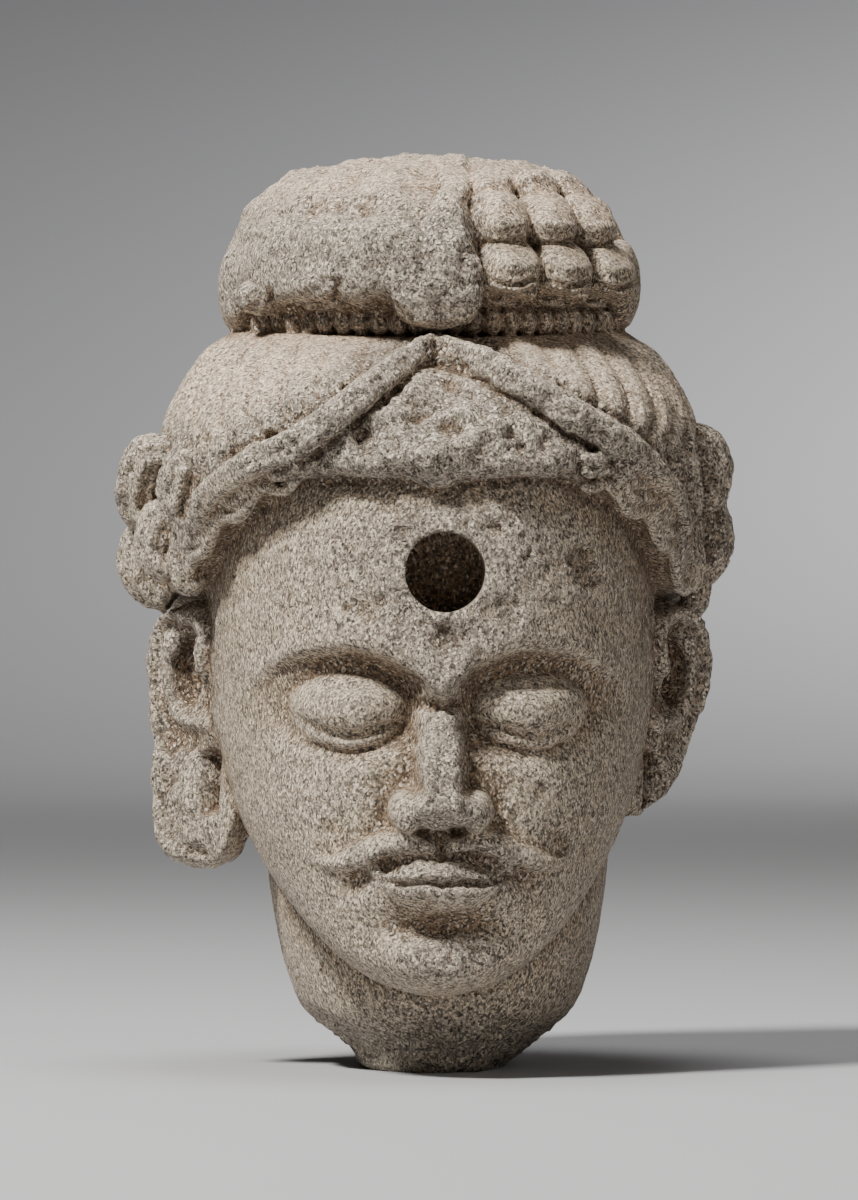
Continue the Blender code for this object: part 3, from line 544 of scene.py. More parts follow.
def ear_relief(u, v):
    """Front of the ear in its own plane: u from the cheek outwards, v upwards."""
    rim = route([(9, 168), (7, 182), (14, 190), (25, 191), (34, 183), (37, 165), (35.5, 148), (33, 132),
                 (31.5, 112), (29, 96), (20, 90)], 30)
    inner = route([(28, 181), (29.5, 168), (27, 155), (20, 146), (9, 145)], 16)
    away, _ = nearest(rim, u, v)
    ridge = 6.5 * bell(away, 4.6)
    away, _ = nearest(inner, u, v)
    fold = 4.6 * bell(away, 4.0)
    lobe = 5.5 * hill(u, v, (19, 112), (15, 22)) * smooth(140, 128, v)
    hollow = 9.5 * dome(u, v, (18.5, 167), (8.0, 15.0)) ** 0.7
    slit = 11 * bell(u - 5.5, 3.6) * smooth(105, 110, v) * smooth(135, 130, v)
    under = 2.4 * bell(v - 91 - 0.25 * (u - 11), 1.7) * smooth(4, 9, u) * smooth(26, 20, u)
    return np.maximum(ridge, fold) + lobe - hollow - slit - under


# Outlines of the ears, as (height, reach) pairs from the foot up
EAR_TOP = [(172, 43), (184, 40), (191, 32), (196, 18)]
WHOLE_EAR = [(84, 20), (87, 30), (93, 36), (110, 39), (125, 38), (136, 39), (152, 42)] + EAR_TOP
BROKEN_EAR = [(106, 2), (112, 12), (120, 19), (129, 27), (142, 33), (154, 39)] + EAR_TOP


def add_ear(stone, side, outline):
    """Long ear, as a slab that stands out from the head inside an outline of (height, reach) pairs."""
    foot, top = outline[0][0], outline[-1][0]
    heights = np.linspace(foot, top, 150)[:, None]
    across = np.linspace(0, 1, 70)[None, :]
    edge = curve(outline, heights)
    root = curve([(84, 10), (88, 2), (96, -4), (110, -8), (188, -8), (196, 4)], heights)
    start = np.minimum(root, edge - 4)
    u = start + (edge - start) * across
    round_edge = np.sqrt(np.clip(1 - ((u - edge + 6) / 6).clip(0, 1) ** 2, 0, 1))
    close = smooth(foot, foot + 4, heights) * smooth(top, top - 4, heights)
    front = (ear_relief(u, heights) + 3) * round_edge * (0.35 + 0.65 * close) - 1
    back = -9 * round_edge * (0.4 + 0.6 * close) - 1
    u = np.concatenate([u, u[:, ::-1]], 1)
    w = np.concatenate([front, back[:, ::-1]], 1)
    x = EAR_X + u * math.sin(EAR_LEAN) + w * math.cos(EAR_LEAN)
    y = EAR_Y + u * math.cos(EAR_LEAN) - w * math.sin(EAR_LEAN)
    z = heights + 0 * u
    if side < 0:
        x, y, z = -x[:, ::-1], y[:, ::-1], z[:, ::-1]
    stone.add(np.stack([x, y, z], -1))


def add_band(stone):
    """Recessed band under the topknot, with a ring of beads."""
    angle = around(300)[None, :]
    stone.add(BAND.skin(angle, np.linspace(296, 320, 12)[:, None], -3))
    fine = np.linspace(-np.pi, np.pi, 721)
    ring = BAND.skin(fine, np.full(721, BEAD_Z))
    steps = np.linalg.norm(np.diff(ring, axis=0), axis=1)
    length = np.concatenate([[0], np.cumsum(steps)])
    pitch = BEAD_LENGTH / UNIT
    count = max(3, round(length[-1] / pitch))
    for place in np.arange(count) * length[-1] / count:
        at = np.interp(place, length, fine)
        centre = BAND.skin(np.array(at), np.array(BEAD_Z), 0)
        stone.blob(centre, (0.5 * pitch, 5.2, 5.8), tilt=at, power=2.4, rows=20, columns=24)


def knot_place(x, z, out):
    """Place on the front of the topknot."""
    return np.array([x, float(KNOT.front_at(np.array(x), np.array(float(z)))) - out, z])


def add_knot(stone):
    """Topknot: a flattened ball, with a worn left front and rows of locks on the right."""
    heights = np.linspace(KNOT_FOOT, KNOT_TOP, 120)[:, None]
    angle = around(640)[None, :]
    turn = np.degrees(angle)
    below = KNOT_TOP - heights
    right = smooth(4, 14, turn) * smooth(86, 78, turn) * smooth(12, 24, below)
    behind = smooth(86, 104, np.abs(turn))
    fallen = turn + 4 * np.sin(heights / 9)
    falls = 2.8 * comb(fallen, FALL_TURN) + 0.9 * comb(fallen, FALL_STRAND_TURN, 1.3) - 1.7
    falls = falls * smooth(4, 18, below)
    stone.add(KNOT.skin(angle, heights, falls * behind - KNOT_RECESS * right))


def lock_relief(x, z):
    """Boss over waved lips of strands, with a hollow at their lower left and a strand down the right."""
    wave = curve([(-14, 1.6), (-7, -2.0), (0, -1.2), (5, 0.8), (8.5, -4.5), (12, -14)], x)
    below = wave - z
    lips = LIP_DEPTH * (1 - comb(below, LIP_PITCH, 2.0)) - 0.8 - 0.25 * below
    hollow = 9.0 * smooth(8.2, 10.6, below - 0.5 * np.clip(x, -6, 4)) * smooth(8, 5, x)
    parting = 3.0 * bell(x - 11.0, 1.2) * smooth(6, 0, z)
    boss = 1.6 * hill(x, z, (-1, 1.5), (10, 4.5)) - 0.42 * np.clip(z - 2, 0, None)
    return boss - lips * smooth(0.6, 1.8, below) * smooth(10.5, 8.0, x) - hollow - parting


def add_locks(stone):
    """Rows of puffed locks round the right of the topknot, and one lock at each of its ends."""
    rows = (
        # height, half height, half width, how far its boss is lowered, places across
        (332, 14.0, 12.6, 0.0, (29.5, 51, 70)),
        (353.5, 12.0, 11.9, 4.0, (26, 45.5, 63)),
        (368, 7, 10, 6.0, (22, 40, 54)),
    )
    for z, tall, wide, lower, places in rows:
        for x in places:
            stone.blob(knot_place(x, z, LOCK_SINK), (wide, LOCK_DEPTH, tall), tilt=math.atan2(x, 62),
                       power=2.7, relief=lambda a, b, lower=lower: lock_relief(a, b + lower))
    stone.blob(knot_place(-72, 323, -4.5), (8, 11, 8), tilt=math.atan2(-72, 62), power=2.5,
               relief=lambda a, b: 0.7 * lock_relief(-1.5 * a, 1.6 * b))
    for x, z in ((79.5, 329), (-80, 328)):
        for y in (-6, 22):
            stone.blob((x, y, z), (9, 16, 19))


def slab(stone, x, front, z, thick):
    """Slab whose front is a grid of points, with a back that runs a thickness behind it."""
    x = np.concatenate([x, x[:, ::-1]], 1)
    y = np.concatenate([front, front[:, ::-1] + thick], 1)
    z = np.concatenate([z, z[:, ::-1]], 1)
    stone.add(np.stack([x, y, z], -1))


def add_worn_locks(stone):
    """Broken left front of the topknot, where two scallops are left of the lower locks."""
    share = np.linspace(0, 1, 70)[:, None]
    across = np.linspace(0, 1, 200)[None, :]
    x = 0.94 * curve([(0, -86), (0.5, -86), (1, -80)], share) * (1 - across) + WORN_RIGHT * across
    foot = WORN_FOOT + 7 * bell(x + 41.5, 1.6) + 7 * bell(x + 68, 1.6)
    z = foot + share * (WORN_TOP - foot)
    swell = curve([(-80, 3.5), (-60, 4.5), (-30, 6.5), (WORN_RIGHT, 7.0)], x)
    rounded = np.sqrt(1 - np.clip(1 - share / 0.08, 0, 1) ** 2) * smooth(1, 0.8, share)
    lumps = 1.2 * np.sin(x / 5.5 + 0.8 * np.sin(z / 7)) * np.sin(z / 6.5 + x / 19)
    front = KNOT.front_at(x, z) - (swell + 2 + lumps) * rounded * np.clip(across / 0.1, 0, 1) ** 0.5 + 2
    slab(stone, x, front, z, SLAB_THICKNESS)


def add_tongue(stone):
    """Band that comes over the topknot and ends in a broad rounded tongue in front of it."""
    heights = np.concatenate([np.linspace(308, 316, 20), np.linspace(317, KNOT_TOP, 80)])[:, None]
    across = np.linspace(-1, 1, 70)[None, :]
    left = curve([(308, -4), (310, -11), (314, -16), (325, -19.5), (342, -19.5), (352, -10), (360, -2),
                  (KNOT_TOP, 3)], heights)
    right = curve([(308, 4), (310, 10.5), (314, 15.5), (324, 19), (334, 17.5), (346, 13.5), (352, 12.5),
                   (KNOT_TOP, 15)], heights)
    x = (left + right) / 2 + across * (right - left) / 2
    middle = curve([(308, -74), (311, -79), (325, -82), (340, -81), (350, -77.5), (360, -70), (372, -54),
                    (380, -30), (KNOT_TOP, -6)], heights)
    free = np.where(across > 0, 1, smooth(KNOT_TOP - 36, KNOT_TOP - 28, heights) + (heights < WORN_FOOT))
    front = middle + x ** 2 / 160 + 4.5 * free * np.abs(across) ** 6
    slab(stone, x, front, heights + 0 * x, SLAB_THICKNESS)
    stone.blob((0.5, 8, KNOT_TOP - 4.5), (9, 12, 5.5))


def make_stone():
    """All the skins of the dressed stone, still one over the other."""
    stone = Stone()
    for add in (add_skull, add_neck, add_cap, add_ropes, add_side_curls, add_band, add_knot, add_locks,
                add_worn_locks, add_tongue):
        add(stone)
    add_ear(stone, -1, WHOLE_EAR)
    add_ear(stone, 1, BROKEN_EAR)
    return stone


def mesh_object(name, points, faces):
    """Object in the scene with a mesh of these points and faces."""
    mesh = bpy.data.meshes.new(name)
    mesh.from_pydata(points, [], faces)
    obj = bpy.data.objects.new(name, mesh)
    bpy.context.scene.collection.objects.link(obj)
    return obj


def applied(obj):
    """Puts what the modifiers make into the object's own mesh."""
    graph = bpy.context.evaluated_depsgraph_get()
    mesh = bpy.data.meshes.new_from_object(obj.evaluated_get(graph))
    obj.modifiers.clear()
    obj.data = mesh
    return mesh


def places_and_normals(mesh):
    """Places of the mesh's points and the normals there, one row each."""
    rows = np.empty((2, len(mesh.vertices) * 3))
    mesh.vertices.foreach_get("co", rows[0])
    mesh.vertices.foreach_get("normal", rows[1])
    return rows.reshape(2, -1, 3)


def settled(mesh, points, rounds):
    """The points after rounds of moving each to the middle of its neighbours."""
    ends = np.empty(len(mesh.edges) * 2, int)
    mesh.edges.foreach_get("vertices", ends)
    a, b = ends.reshape(-1, 2).T
    count = np.bincount(a, minlength=len(points)) + np.bincount(b, minlength=len(points))
    for _ in range(rounds):
        points = np.stack([
            (np.bincount(a, axis[b], len(points)) + np.bincount(b, axis[a], len(points))) / count
            for axis in points.T
        ], 1)
    return points


def patch(x, z, centre, size, soft=0.35):
    """1 inside an upright oval of the front view, 0 outside, with a soft edge."""
    away = np.hypot((x - centre[0]) / size[0], (z - centre[1]) / size[1])
    return smooth(1 + soft, 1 - soft, away)


def broken_share(points, normals):
    """How rough and broken the stone is, from 0 where it is still dressed to 1."""
    x, y, z = points.T
    front = smooth(0.1, -0.4, normals[:, 1])
    ragged = 0.35 * noise(points, 11.0) + 0.2 * noise(points, 5.0)
    knot_front = smooth(306, 311, z) * smooth(22, 17, x) * smooth(376, 360, z) * front
    brow = smooth(296, 284, z) * smooth(66, 50, np.abs(x + 4)) * smooth(238, 246, z) * front
    ropes = smooth(34, 22, np.abs(z - 272 + 0.62 * np.abs(x + 1) - 18)) * smooth(242, 252, z) * front
    share = np.max([
        knot_front,
        0.9 * brow,
        1.0 * ropes,
        0.62 * patch(x, z, (4, 208), (50, 30)) * front,
        0.85 * patch(x, z, (0, 178), (15, 22)) * front,
        1.0 * patch(x, z, (0, 130), (9.5, 26)) * front,
        1.0 * patch(x, z, (2, 108), (16, 8)) * front,
        0.75 * patch(x, z, (1, 51), (20, 9)) * front,
        0.6 * patch(x, z, (0, 88), (44, 12)) * front,
        0.7 * smooth(205, 215, z) * smooth(94, 102, np.abs(x)) * smooth(275, 262, z),
        0.55 * smooth(84, 92, np.abs(x)) * smooth(204, 196, z) * smooth(76, 84, z),
        0.9 * smooth(30, 16, z),
        0.6 * smooth(366, 374, z),
        0.5 * smooth(0.2, 0.7, normals[:, 1]),
    ], axis=0)
    return np.clip(share + ragged * np.minimum(share * 3, 1) * (1 - 0.5 * share), 0, 1)


# Chips and scars of the front: centre in the front view, size, depth
CHIPS = (
    ((59, 213.5), (6.5, 5.5), 2.2),
    ((62, 205), (9, 4), 1.3),
    ((-14, 222), (9, 5), 1.2),
    ((22, 226), (6, 3), 1.5),
    ((-30, 193), (12, 7), 1.1),
    ((26, 192), (9, 6), 1.0),
    ((3, 176), (8, 10), 1.6),
    ((-44, 104), (5, 4), 0.8),
    ((50, 96), (4, 6), 0.8),
    ((-58, 128), (3, 4), 0.7),
    ((41, 118), (3, 5), 0.7),
    ((6, 50), (15, 7), 0.9),
    ((-22, 88), (7, 3), 1.3),
    ((24, 84), (5, 3), 1.2),
    ((-8, 73), (8, 3), 1.0),
)


def weather(mesh):
    """Moves the points of the dressed stone to where breaks, chips, pits and grain have left them."""
    points, normals = places_and_normals(mesh)
    x, y, z = points.T
    share = broken_share(points, normals)
    facing = smooth(0.1, -0.4, normals[:, 1])
    rough = 0.75 * noise(points, 3.2, 5) + 0.5 * noise(points, 2.0, 9) + 1.1 * noise(points, 8.5, 2)
    rough += 0.6 * np.abs(noise(points, 5.5, 17)) - 0.3
    pits = -1.1 * smooth(0.45, 0.8, noise(points, 3.0, 23))
    pits -= 0.5 * smooth(0.5, 0.8, noise(points, 1.8, 3))
    fine = 0.10 * noise(points, 2.2, 6) + 0.14 * noise(points, 7.0, 11)
    rare = -0.9 * smooth(0.62, 0.85, noise(points, 3.4, 29)) * smooth(-0.1, 0.4, noise(points, 22.0, 4))
    layers = 0.22 * noise(points * (1, 2.6, 0.35), 1.7, 41) * (1 - np.abs(normals[:, 1]))
    seen = 0.45 + 0.55 * smooth(0.6, 0.1, normals[:, 1])
    lumpy = 1.2 * noise(points, 12.0, 3) + 0.8 * noise(points, 6.0, 13)
    lumpy = (smooth(350, 362, z) + 0.8 * share) * lumpy
    move = seen * (fine + rare + layers) + lumpy + share * (rough + pits)
    for centre, size, depth in CHIPS:
        ragged = 0.35 * noise(points, 3.0, centre[0])
        away = np.hypot((x - centre[0]) / size[0], (z - centre[1]) / size[1]) + ragged
        move -= depth * smooth(1.1, 0.6, away) * facing
    keep = smooth(0.0, 1.5, z)
    points += normals * (move * keep)[:, None]
    points[:, 2] = np.maximum(points[:, 2], 0)
    mesh.vertices.foreach_set("co", points.ravel())
    mesh.update()


# Shares written on the mesh for the material; the recess share and the share for the right side and
# socket carry painted shade
MARKS = ("broken", "recess", "crest", "warm", "shade_and_socket")


def mark(mesh):
    """Writes on each point how broken, recessed and warm the stone is there, for the material. The
    recess share drives painted shade in the hollows, the crest share marks rubbed crests, and one share
    holds painted shade on the right side of the head and the dark inside of the socket.
    """
    points, normals = places_and_normals(mesh)
    x, y, z = points.T
    share = broken_share(points, normals)
    # Hollows and crests from how far each point lies from its smoothed place; the hollows get painted
    # shade in the material
    near = np.sum((settled(mesh, points, 6) - points) * normals, axis=1)
    wide = np.sum((settled(mesh, points, 50) - points) * normals, axis=1)
    recess = smooth(0.1, 2.6, wide) * 0.7 + smooth(0.05, 0.6, near) * 0.5
    crest = smooth(-0.1, -1.2, wide) * 0.6 + smooth(-0.05, -0.4, near) * 0.4
    socket = smooth(SOCKET_RADIUS + 0.6, SOCKET_RADIUS - 0.4, np.hypot(x - SOCKET_X, z - SOCKET_Z))
    socket *= smooth(-104, -101, y) * smooth(-60, -70, y)
    top = smooth(340, 376, z) + 0.7 * smooth(300, 306, z) * smooth(322, 314, z)
    upper = 0.75 * smooth(268, 284, z) * smooth(312, 304, z)
    warm = np.clip(top + upper, 0, 1) * (1 - 0.8 * share * smooth(362, 350, z))
    # Painted shade: the right side of the head, turned away from the key light, is darkened; the inside
    # of the socket is marked for the same dark colour
    right = smooth(20, 88, x) * smooth(0.15, 0.8, normals[:, 0] + 0.2)
    shade_and_socket = np.maximum(right * 0.8, socket)
    for name, value in zip(MARKS, (share, recess, crest, warm, shade_and_socket)):
        layer = mesh.attributes.new(name, "FLOAT", "POINT")
        layer.data.foreach_set("value", np.clip(value, 0, 1).astype(np.float32))


def cutter(name, rings):
    """Closed body over rings of points."""
    body = Stone()
    body.add(np.array(rings))
    return mesh_object(name, body.points, body.faces)


def socket_cutter():
    """Rod that drills the round hole straight back into the forehead, in carving units."""
    forehead = float(SKULL.front_at(np.array(SOCKET_X), np.array(SOCKET_Z)))
    turn = np.linspace(2 * np.pi, 0, SOCKET_SIDES, endpoint=False)
    x, z = SOCKET_X + SOCKET_RADIUS * np.cos(turn), SOCKET_Z + SOCKET_RADIUS * np.sin(turn)
    ends = (forehead - 30, forehead + SOCKET_DEPTH / UNIT)
    rings = [np.stack([x, y + 0 * turn, z], 1) for y in ends]
    return cutter("socket_cutter", rings)


def underside_cutter():
    """Block below the ground plane, which leaves the flat patch under the neck, in carving units."""
    half, deep = 200, 40
    corners = np.array([(-half, -half), (half, -half), (half, half), (-half, half)])
    rings = [np.column_stack([corners, np.full(4, z)]) for z in (-deep, 0)]
    return cutter("underside_cutter", rings)


def thinning_group(head, points, normals):
    """Vertex group for the thinning: nothing is taken from the locks, and less from the fine front."""
    x, _, z = points.T
    ahead = smooth(0.5, -0.3, normals[:, 1]) * smooth(4, 30, z)
    locks = smooth(13, 17, x) * smooth(305, 308, z) * smooth(376, 370, z)
    locks = locks * smooth(0.5, 0.2, normals[:, 1])
    hair = smooth(190, 200, z) * smooth(306, 300, z) * smooth(0.4, 0.0, normals[:, 1])
    levels = np.round(THINNING_LEVELS - 10 * ahead - 3 * hair)
    levels = np.where(locks > 0.5, 0, np.clip(levels, 1, THINNING_LEVELS)).astype(int)
    group = head.vertex_groups.new(name="thinned")
    for level in range(1, THINNING_LEVELS + 1):
        weight = level / (THINNING_LEVELS + 2)
        group.add(np.nonzero(levels == level)[0].tolist(), weight, "REPLACE")
    return group.name


def drop_crumbs(mesh):
    """Takes away what the fusing and the thinning left apart from the stone itself."""
    work = bmesh.new()
    work.from_mesh(mesh)
    bmesh.ops.dissolve_degenerate(work, dist=1e-3, edges=work.edges)
    bodies, left = [], set(work.verts)
    while left:
        body, edge = [], [left.pop()]
        while edge:
            vert = edge.pop()
            body.append(vert)
            near = {link.other_vert(vert) for link in vert.link_edges} & left
            left -= near
            edge.extend(near)
        bodies.append(body)
    bodies.sort(key=len)
    crumbs = [vert for body in bodies[:-1] for vert in body]
    bmesh.ops.delete(work, geom=crumbs, context="VERTS")
    work.to_mesh(mesh)
    work.free()


def make_head():
    """One stone: the gathered skins fused, softened, weathered, cut and thinned."""
    stone = make_stone()
    head = mesh_object("head_stone", stone.points, stone.faces)
    fuse = head.modifiers.new("fuse", "REMESH")
    fuse.mode = "VOXEL"
    fuse.voxel_size = VOXEL
    soften = head.modifiers.new("soften", "SMOOTH")
    soften.factor = 0.2
    soften.iterations = 1
    mesh = applied(head)
    weather(mesh)
    tools = [underside_cutter(), socket_cutter()]
    for tool in tools:
        cut = head.modifiers.new(tool.name, "BOOLEAN")
        cut.operation = "DIFFERENCE"
        cut.solver = "MANIFOLD"
        cut.object = tool
    mesh = applied(head)
    for tool in tools:
        bpy.data.objects.remove(tool)
    thin = head.modifiers.new("thin", "DECIMATE")
    thin.ratio = TRIANGLES / (len(mesh.loops) - 2 * len(mesh.polygons))
    thin.vertex_group = thinning_group(head, *places_and_normals(mesh))
    thin.vertex_group_factor = THINNING_BIAS
    mesh = applied(head)
    drop_crumbs(mesh)
    mesh.shade_smooth()
    mark(mesh)
    mesh.transform(Matrix.Scale(UNIT, 4))
    return head


class Shader:
    """Adds nodes to a material, and gives back the output sockets that the next ones take."""

    def __init__(self, name):
        self.material = bpy.data.materials.new(name)
        self.material.use_nodes = True
        self.tree = self.material.node_tree
        self.surface = self.tree.nodes["Principled BSDF"]

    def add(self, kind, inputs=(), output=0, **settings):
        """Output of a new node, with values or links put on its inputs."""
        node = self.tree.nodes.new("ShaderNode" + kind)
        for key, value in settings.items():
            setattr(node, key, value)
        for key, value in dict(inputs).items():
            self.put(node.inputs[key], value)
        return node.outputs[output]

    def put(self, socket, value):
        if isinstance(value, bpy.types.NodeSocket):
            self.tree.links.new(value, socket)
        else:
            socket.default_value = value

    def math(self, operation, a, b=0.5):
        return self.add("Math", {0: a, 1: b}, operation=operation)

    def times(self, a, b):
        return self.math("MULTIPLY", a, b)

    def ramp(self, value, low, high, to_low=0.0, to_high=1.0):
        inputs = {"Value": value, "From Min": low, "From Max": high, "To Min": to_low, "To Max": to_high}
        return self.add("MapRange", inputs)

    def blend(self, share, a, b, blend_type="MIX"):
        """Colour that goes from a to b as the share grows."""
        inputs = {0: share, 6: a, 7: b}
        return self.add("Mix", inputs, output=2, data_type="RGBA", blend_type=blend_type)

    def noise(self, at, scale, detail=3.0, rough=0.55):
        inputs = {"Vector": at, "Scale": scale, "Detail": detail, "Roughness": rough}
        return self.add("TexNoise", inputs)

    def scaled(self, at, factors):
        return self.add("VectorMath", {0: at, 1: factors}, operation="MULTIPLY")


# Colours of the stone. Pairs are the darker and the lighter end of a slow change over the surface.
DRESSED = (0.290, 0.224, 0.155, 1), (0.345, 0.270, 0.188, 1)
BROKEN = (0.25, 0.217, 0.182, 1), (0.345, 0.294, 0.236, 1)
TAN_PATINA = (0.47, 0.335, 0.235, 1), (0.53, 0.40, 0.29, 1)
# Painted shade for the right side of the head, also used inside the socket
SHADE_AND_SOCKET_COLOUR = (0.175, 0.122, 0.076, 1)
# Painted shade for the hollows, laid over the stone's colour where the mesh is recessed
RECESS_SHADE = (0.16, 0.105, 0.062, 1)
RUBBED_EDGE = (0.50, 0.43, 0.34, 1)
BRIGHT_MICA = (0.80, 0.70, 0.56, 1)
DARK_SPECK = (0.035, 0.03, 0.026, 1)
UNCHANGED = (1, 1, 1, 1)

# Grains to a carving unit, coarse and fine, and how they are stretched by the leaves of the stone
COARSE_GRAIN, FINE_GRAIN = 0.95, 1.7
GRAIN_STRETCH = (1.0, 2.4, 0.8)
STREAK_STRETCH = (1.0, 1.6, 0.14)


def stone_material():
    """Grey mica schist: coarse glinting grains, leafed along the front, with tan patina, painted shade
    in the hollows and on the right side, and a dark inside to the socket.
    """
    s = Shader("grey_schist")
    at = s.scaled(s.add("TexCoord", output="Object"), (1 / UNIT, 1 / UNIT, 1 / UNIT))
    normal = s.add("NewGeometry", output="Normal")
    across = s.add("SeparateXYZ", {0: normal}, output="X")
    sideways = s.ramp(s.math("ABSOLUTE", across), 0.35, 0.85)
    marks = {name: s.add("Attribute", output="Fac", attribute_name=name) for name in MARKS}

    # Each grain has random values of its own
    grain = s.scaled(at, GRAIN_STRETCH)
    cell = s.add("TexVoronoi", {"Vector": grain, "Scale": COARSE_GRAIN}, output="Color")
    small = s.add("TexVoronoi", {"Vector": grain, "Scale": FINE_GRAIN}, output="Color")
    red = s.add("SeparateColor", {0: cell}, output="Red")
    green = s.add("SeparateColor", {0: cell}, output="Green")
    blue = s.add("SeparateColor", {0: small}, output="Blue")
    fine = s.add("SeparateColor", {0: small}, output="Red")
    streak = s.noise(s.scaled(at, STREAK_STRETCH), 1.1, 3.0)
    broad = s.noise(at, 0.028, 4.0, 0.6)
    middle = s.noise(at, 0.11, 4.0, 0.6)

    # Colour from the state of the surface, with painted shade in the hollows and on the right side of
    # the head
    plain = s.blend(s.ramp(broad, 0.35, 0.65), *DRESSED)
    fresh = s.blend(s.ramp(middle, 0.35, 0.65), *BROKEN)
    base = s.blend(s.times(marks["broken"], s.ramp(middle, 0.3, 0.6, 0.6, 1.0)), plain, fresh)
    tan = s.blend(s.ramp(middle, 0.3, 0.7), *TAN_PATINA)
    base = s.blend(s.times(marks["warm"], s.ramp(broad, 0.3, 0.6, 0.55, 0.95)), base, tan)
    # Painted shade on the right side of the head, and the dark inside of the socket
    base = s.blend(s.times(marks["shade_and_socket"], 0.5), base, SHADE_AND_SOCKET_COLOUR)
    # Painted shade: the hollows are darkened by the recess share
    base = s.blend(s.times(marks["recess"], 0.85), base, RECESS_SHADE)
    base = s.blend(s.times(marks["crest"], 0.45), base, RUBBED_EDGE)

    # Light and dark grains over it, and streaks on the sides, where the leaves are cut
    value = s.ramp(red, 0.0, 1.0, 0.22, 1.75)
    value = s.times(value, s.ramp(fine, 0.0, 1.0, 0.4, 1.6))
    along = s.ramp(streak, 0.3, 0.7, 0.70, 1.28)
    value = s.times(value, s.blend(sideways, UNCHANGED, along))
    base = s.blend(1.0, base, s.add("CombineColor", {0: value, 1: value, 2: value}), "MULTIPLY")
    flake_share = s.ramp(marks["broken"], 0, 1, 0.5, 0.85)
    flake = s.times(s.math("GREATER_THAN", green, 0.86), flake_share)
    base = s.blend(flake, base, BRIGHT_MICA)
    speck = s.times(s.math("GREATER_THAN", blue, 0.84), 0.65)
    base = s.blend(speck, base, DARK_SPECK)
    s.put(s.surface.inputs["Base Color"], base)
    rough = s.ramp(s.math("GREATER_THAN", green, 0.8), 0, 1, 0.78, 0.42)
    s.put(s.surface.inputs["Roughness"], rough)
    s.surface.inputs["Specular IOR Level"].default_value = 0.4

    # Grain finer than the mesh, and a tilt of its own for each flake of mica
    coarseness = s.ramp(marks["broken"], 0, 1, 0.55, 1.5)
    height = s.times(s.noise(at, 0.55, 5.0, 0.62), coarseness)
    height = s.math("ADD", height, s.times(red, 0.18))
    height = s.math("ADD", height, s.times(s.times(streak, sideways), 0.35))
    bump = s.add("Bump", {"Strength": 1.0, "Distance": 1.3 * UNIT, "Height": height})
    lean = s.add("VectorMath", {0: cell, 1: (0.5, 0.5, 0.5)}, operation="SUBTRACT")
    tilt = s.ramp(marks["broken"], 0, 1, 0.75, 1.2)
    lean = s.add("VectorMath", {0: lean, "Scale": tilt}, operation="SCALE")
    tilted = s.add("VectorMath", {0: bump, 1: lean}, operation="ADD")
    s.put(s.surface.inputs["Normal"], s.add("VectorMath", {0: tilted}, operation="NORMALIZE"))
    return s.material


def floor_material():
    """Matt grey paper."""
    s = Shader("studio_paper")
    s.surface.inputs["Base Color"].default_value = (0.345, 0.345, 0.355, 1)
    s.surface.inputs["Roughness"].default_value = 0.9
    return s.material


def make_stage():
    """Round pale floor that sweeps up into a wall all round, far outside the camera."""
    radius, corner, tall = 13.5, 9.0, 11.0
    bend = np.linspace(0, np.pi / 2, 24)
    reach = np.concatenate([[0.02], np.linspace(0.6, radius - corner, 12),
                            radius - corner + corner * np.sin(bend)[1:], [radius]])
    rise = np.concatenate([np.zeros(13), corner * (1 - np.cos(bend))[1:], [tall]])
    turn = np.linspace(0, 2 * np.pi, 96, endpoint=False)
    rings = np.stack([reach[:, None] * np.cos(turn), reach[:, None] * np.sin(turn),
                      rise[:, None] + 0 * turn], -1)
    body = Stone()
    body.add(rings)
    floor = mesh_object("studio_floor", body.points, body.faces[:1] + body.faces[2:])
    floor.data.materials.append(floor_material())
    floor.data.shade_smooth()


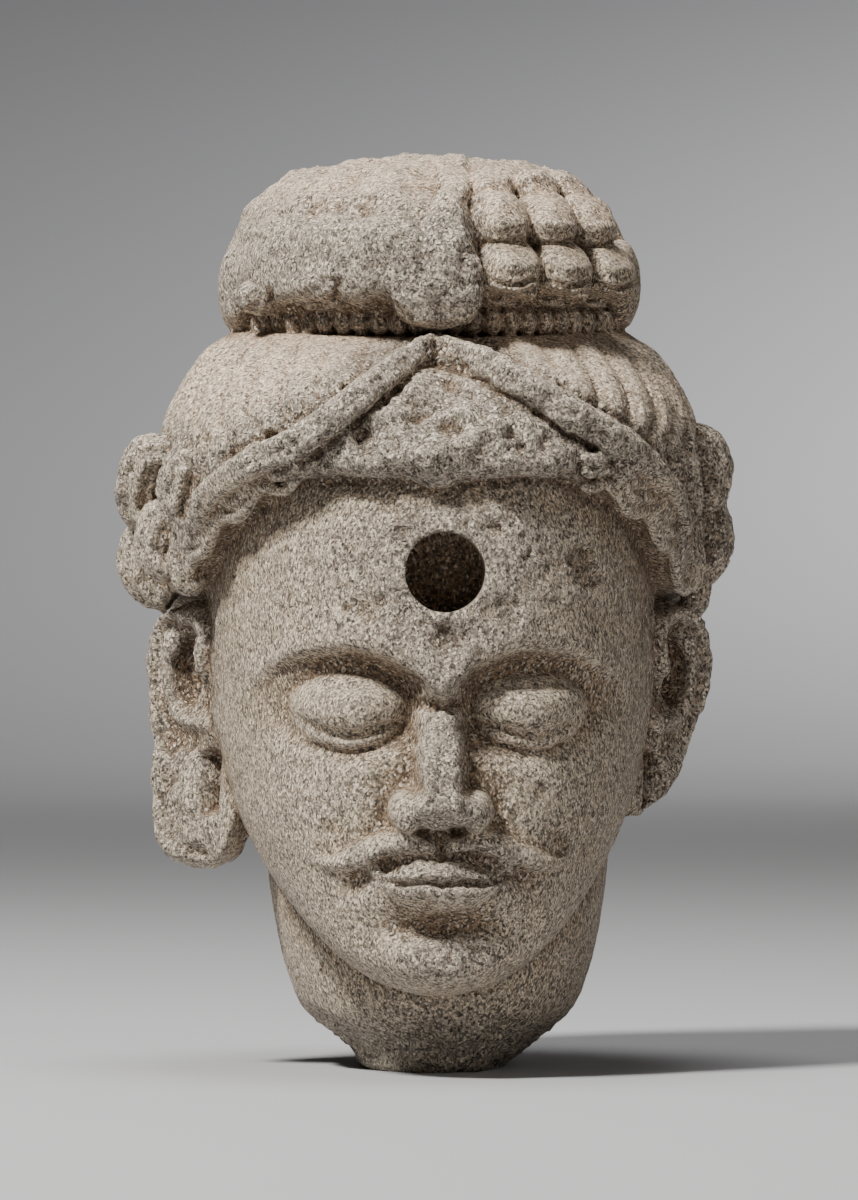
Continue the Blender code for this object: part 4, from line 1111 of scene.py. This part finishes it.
def area_light(name, place, target, size, power, colour=(1, 1, 1)):
    """Square soft light at a place, turned to a target and not seen by the camera."""
    light = bpy.data.lights.new(name, "AREA")
    light.size = size
    light.energy = power
    light.color = colour
    obj = bpy.data.objects.new(name, light)
    obj.location = place
    obj.visible_camera = False
    way = Vector(target) - Vector(place)
    obj.rotation_euler = way.to_track_quat("-Z", "Y").to_euler()
    bpy.context.scene.collection.objects.link(obj)
    return obj


def make_lights():
    """Soft key from the upper left in front, a top light, a weak fill, and one for the wall behind."""
    aim = (0, 0, 0.2)
    area_light("key_light", (-1.45, -1.15, 2.6), aim, 0.45, 215, (1.0, 0.98, 0.94))
    area_light("top_light", (0.0, 0.1, 2.0), aim, 0.7, 24)
    area_light("fill_light", (2.0, -1.7, 1.9), aim, 1.0, 13, (1.0, 0.96, 0.9))
    wall = area_light("wall_light", (4.2, 6.6, 2.4), (1.9, 6.9, 0.2), 1.2, 175)
    wall.data.spread = math.radians(100)
    world = bpy.data.worlds.new("studio_air")
    world.use_nodes = True
    air = world.node_tree.nodes["Background"]
    air.inputs["Color"].default_value = (0.8, 0.8, 0.82, 1)
    air.inputs["Strength"].default_value = 0.06
    bpy.context.scene.world = world


def make_camera():
    """Long lens, level with the eyes, a little to the left of the front."""
    data = bpy.data.cameras.new("camera")
    data.sensor_width = SENSOR
    data.lens = SENSOR * CAMERA_DISTANCE / VIEW_HEIGHT
    camera = bpy.data.objects.new("camera", data)
    yaw = math.radians(CAMERA_YAW)
    middle = Vector((VIEW_CENTRE[0] * math.cos(yaw), VIEW_CENTRE[0] * math.sin(yaw), VIEW_CENTRE[1]))
    back = Vector((math.sin(yaw), -math.cos(yaw), 0))
    camera.location = middle + back * CAMERA_DISTANCE
    camera.rotation_euler = (-back).to_track_quat("-Z", "Y").to_euler()
    bpy.context.scene.collection.objects.link(camera)
    bpy.context.scene.camera = camera


def main():
    """Studio, and the one visual piece in place of the solid."""
    make_camera()
    make_lights()
    make_stage()
    head = make_head()
    head.name = "weathered_head"
    head.data.materials.clear()
    head.data.materials.append(stone_material())
    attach(head, "root")
    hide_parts("bodhisattva_head")


main()
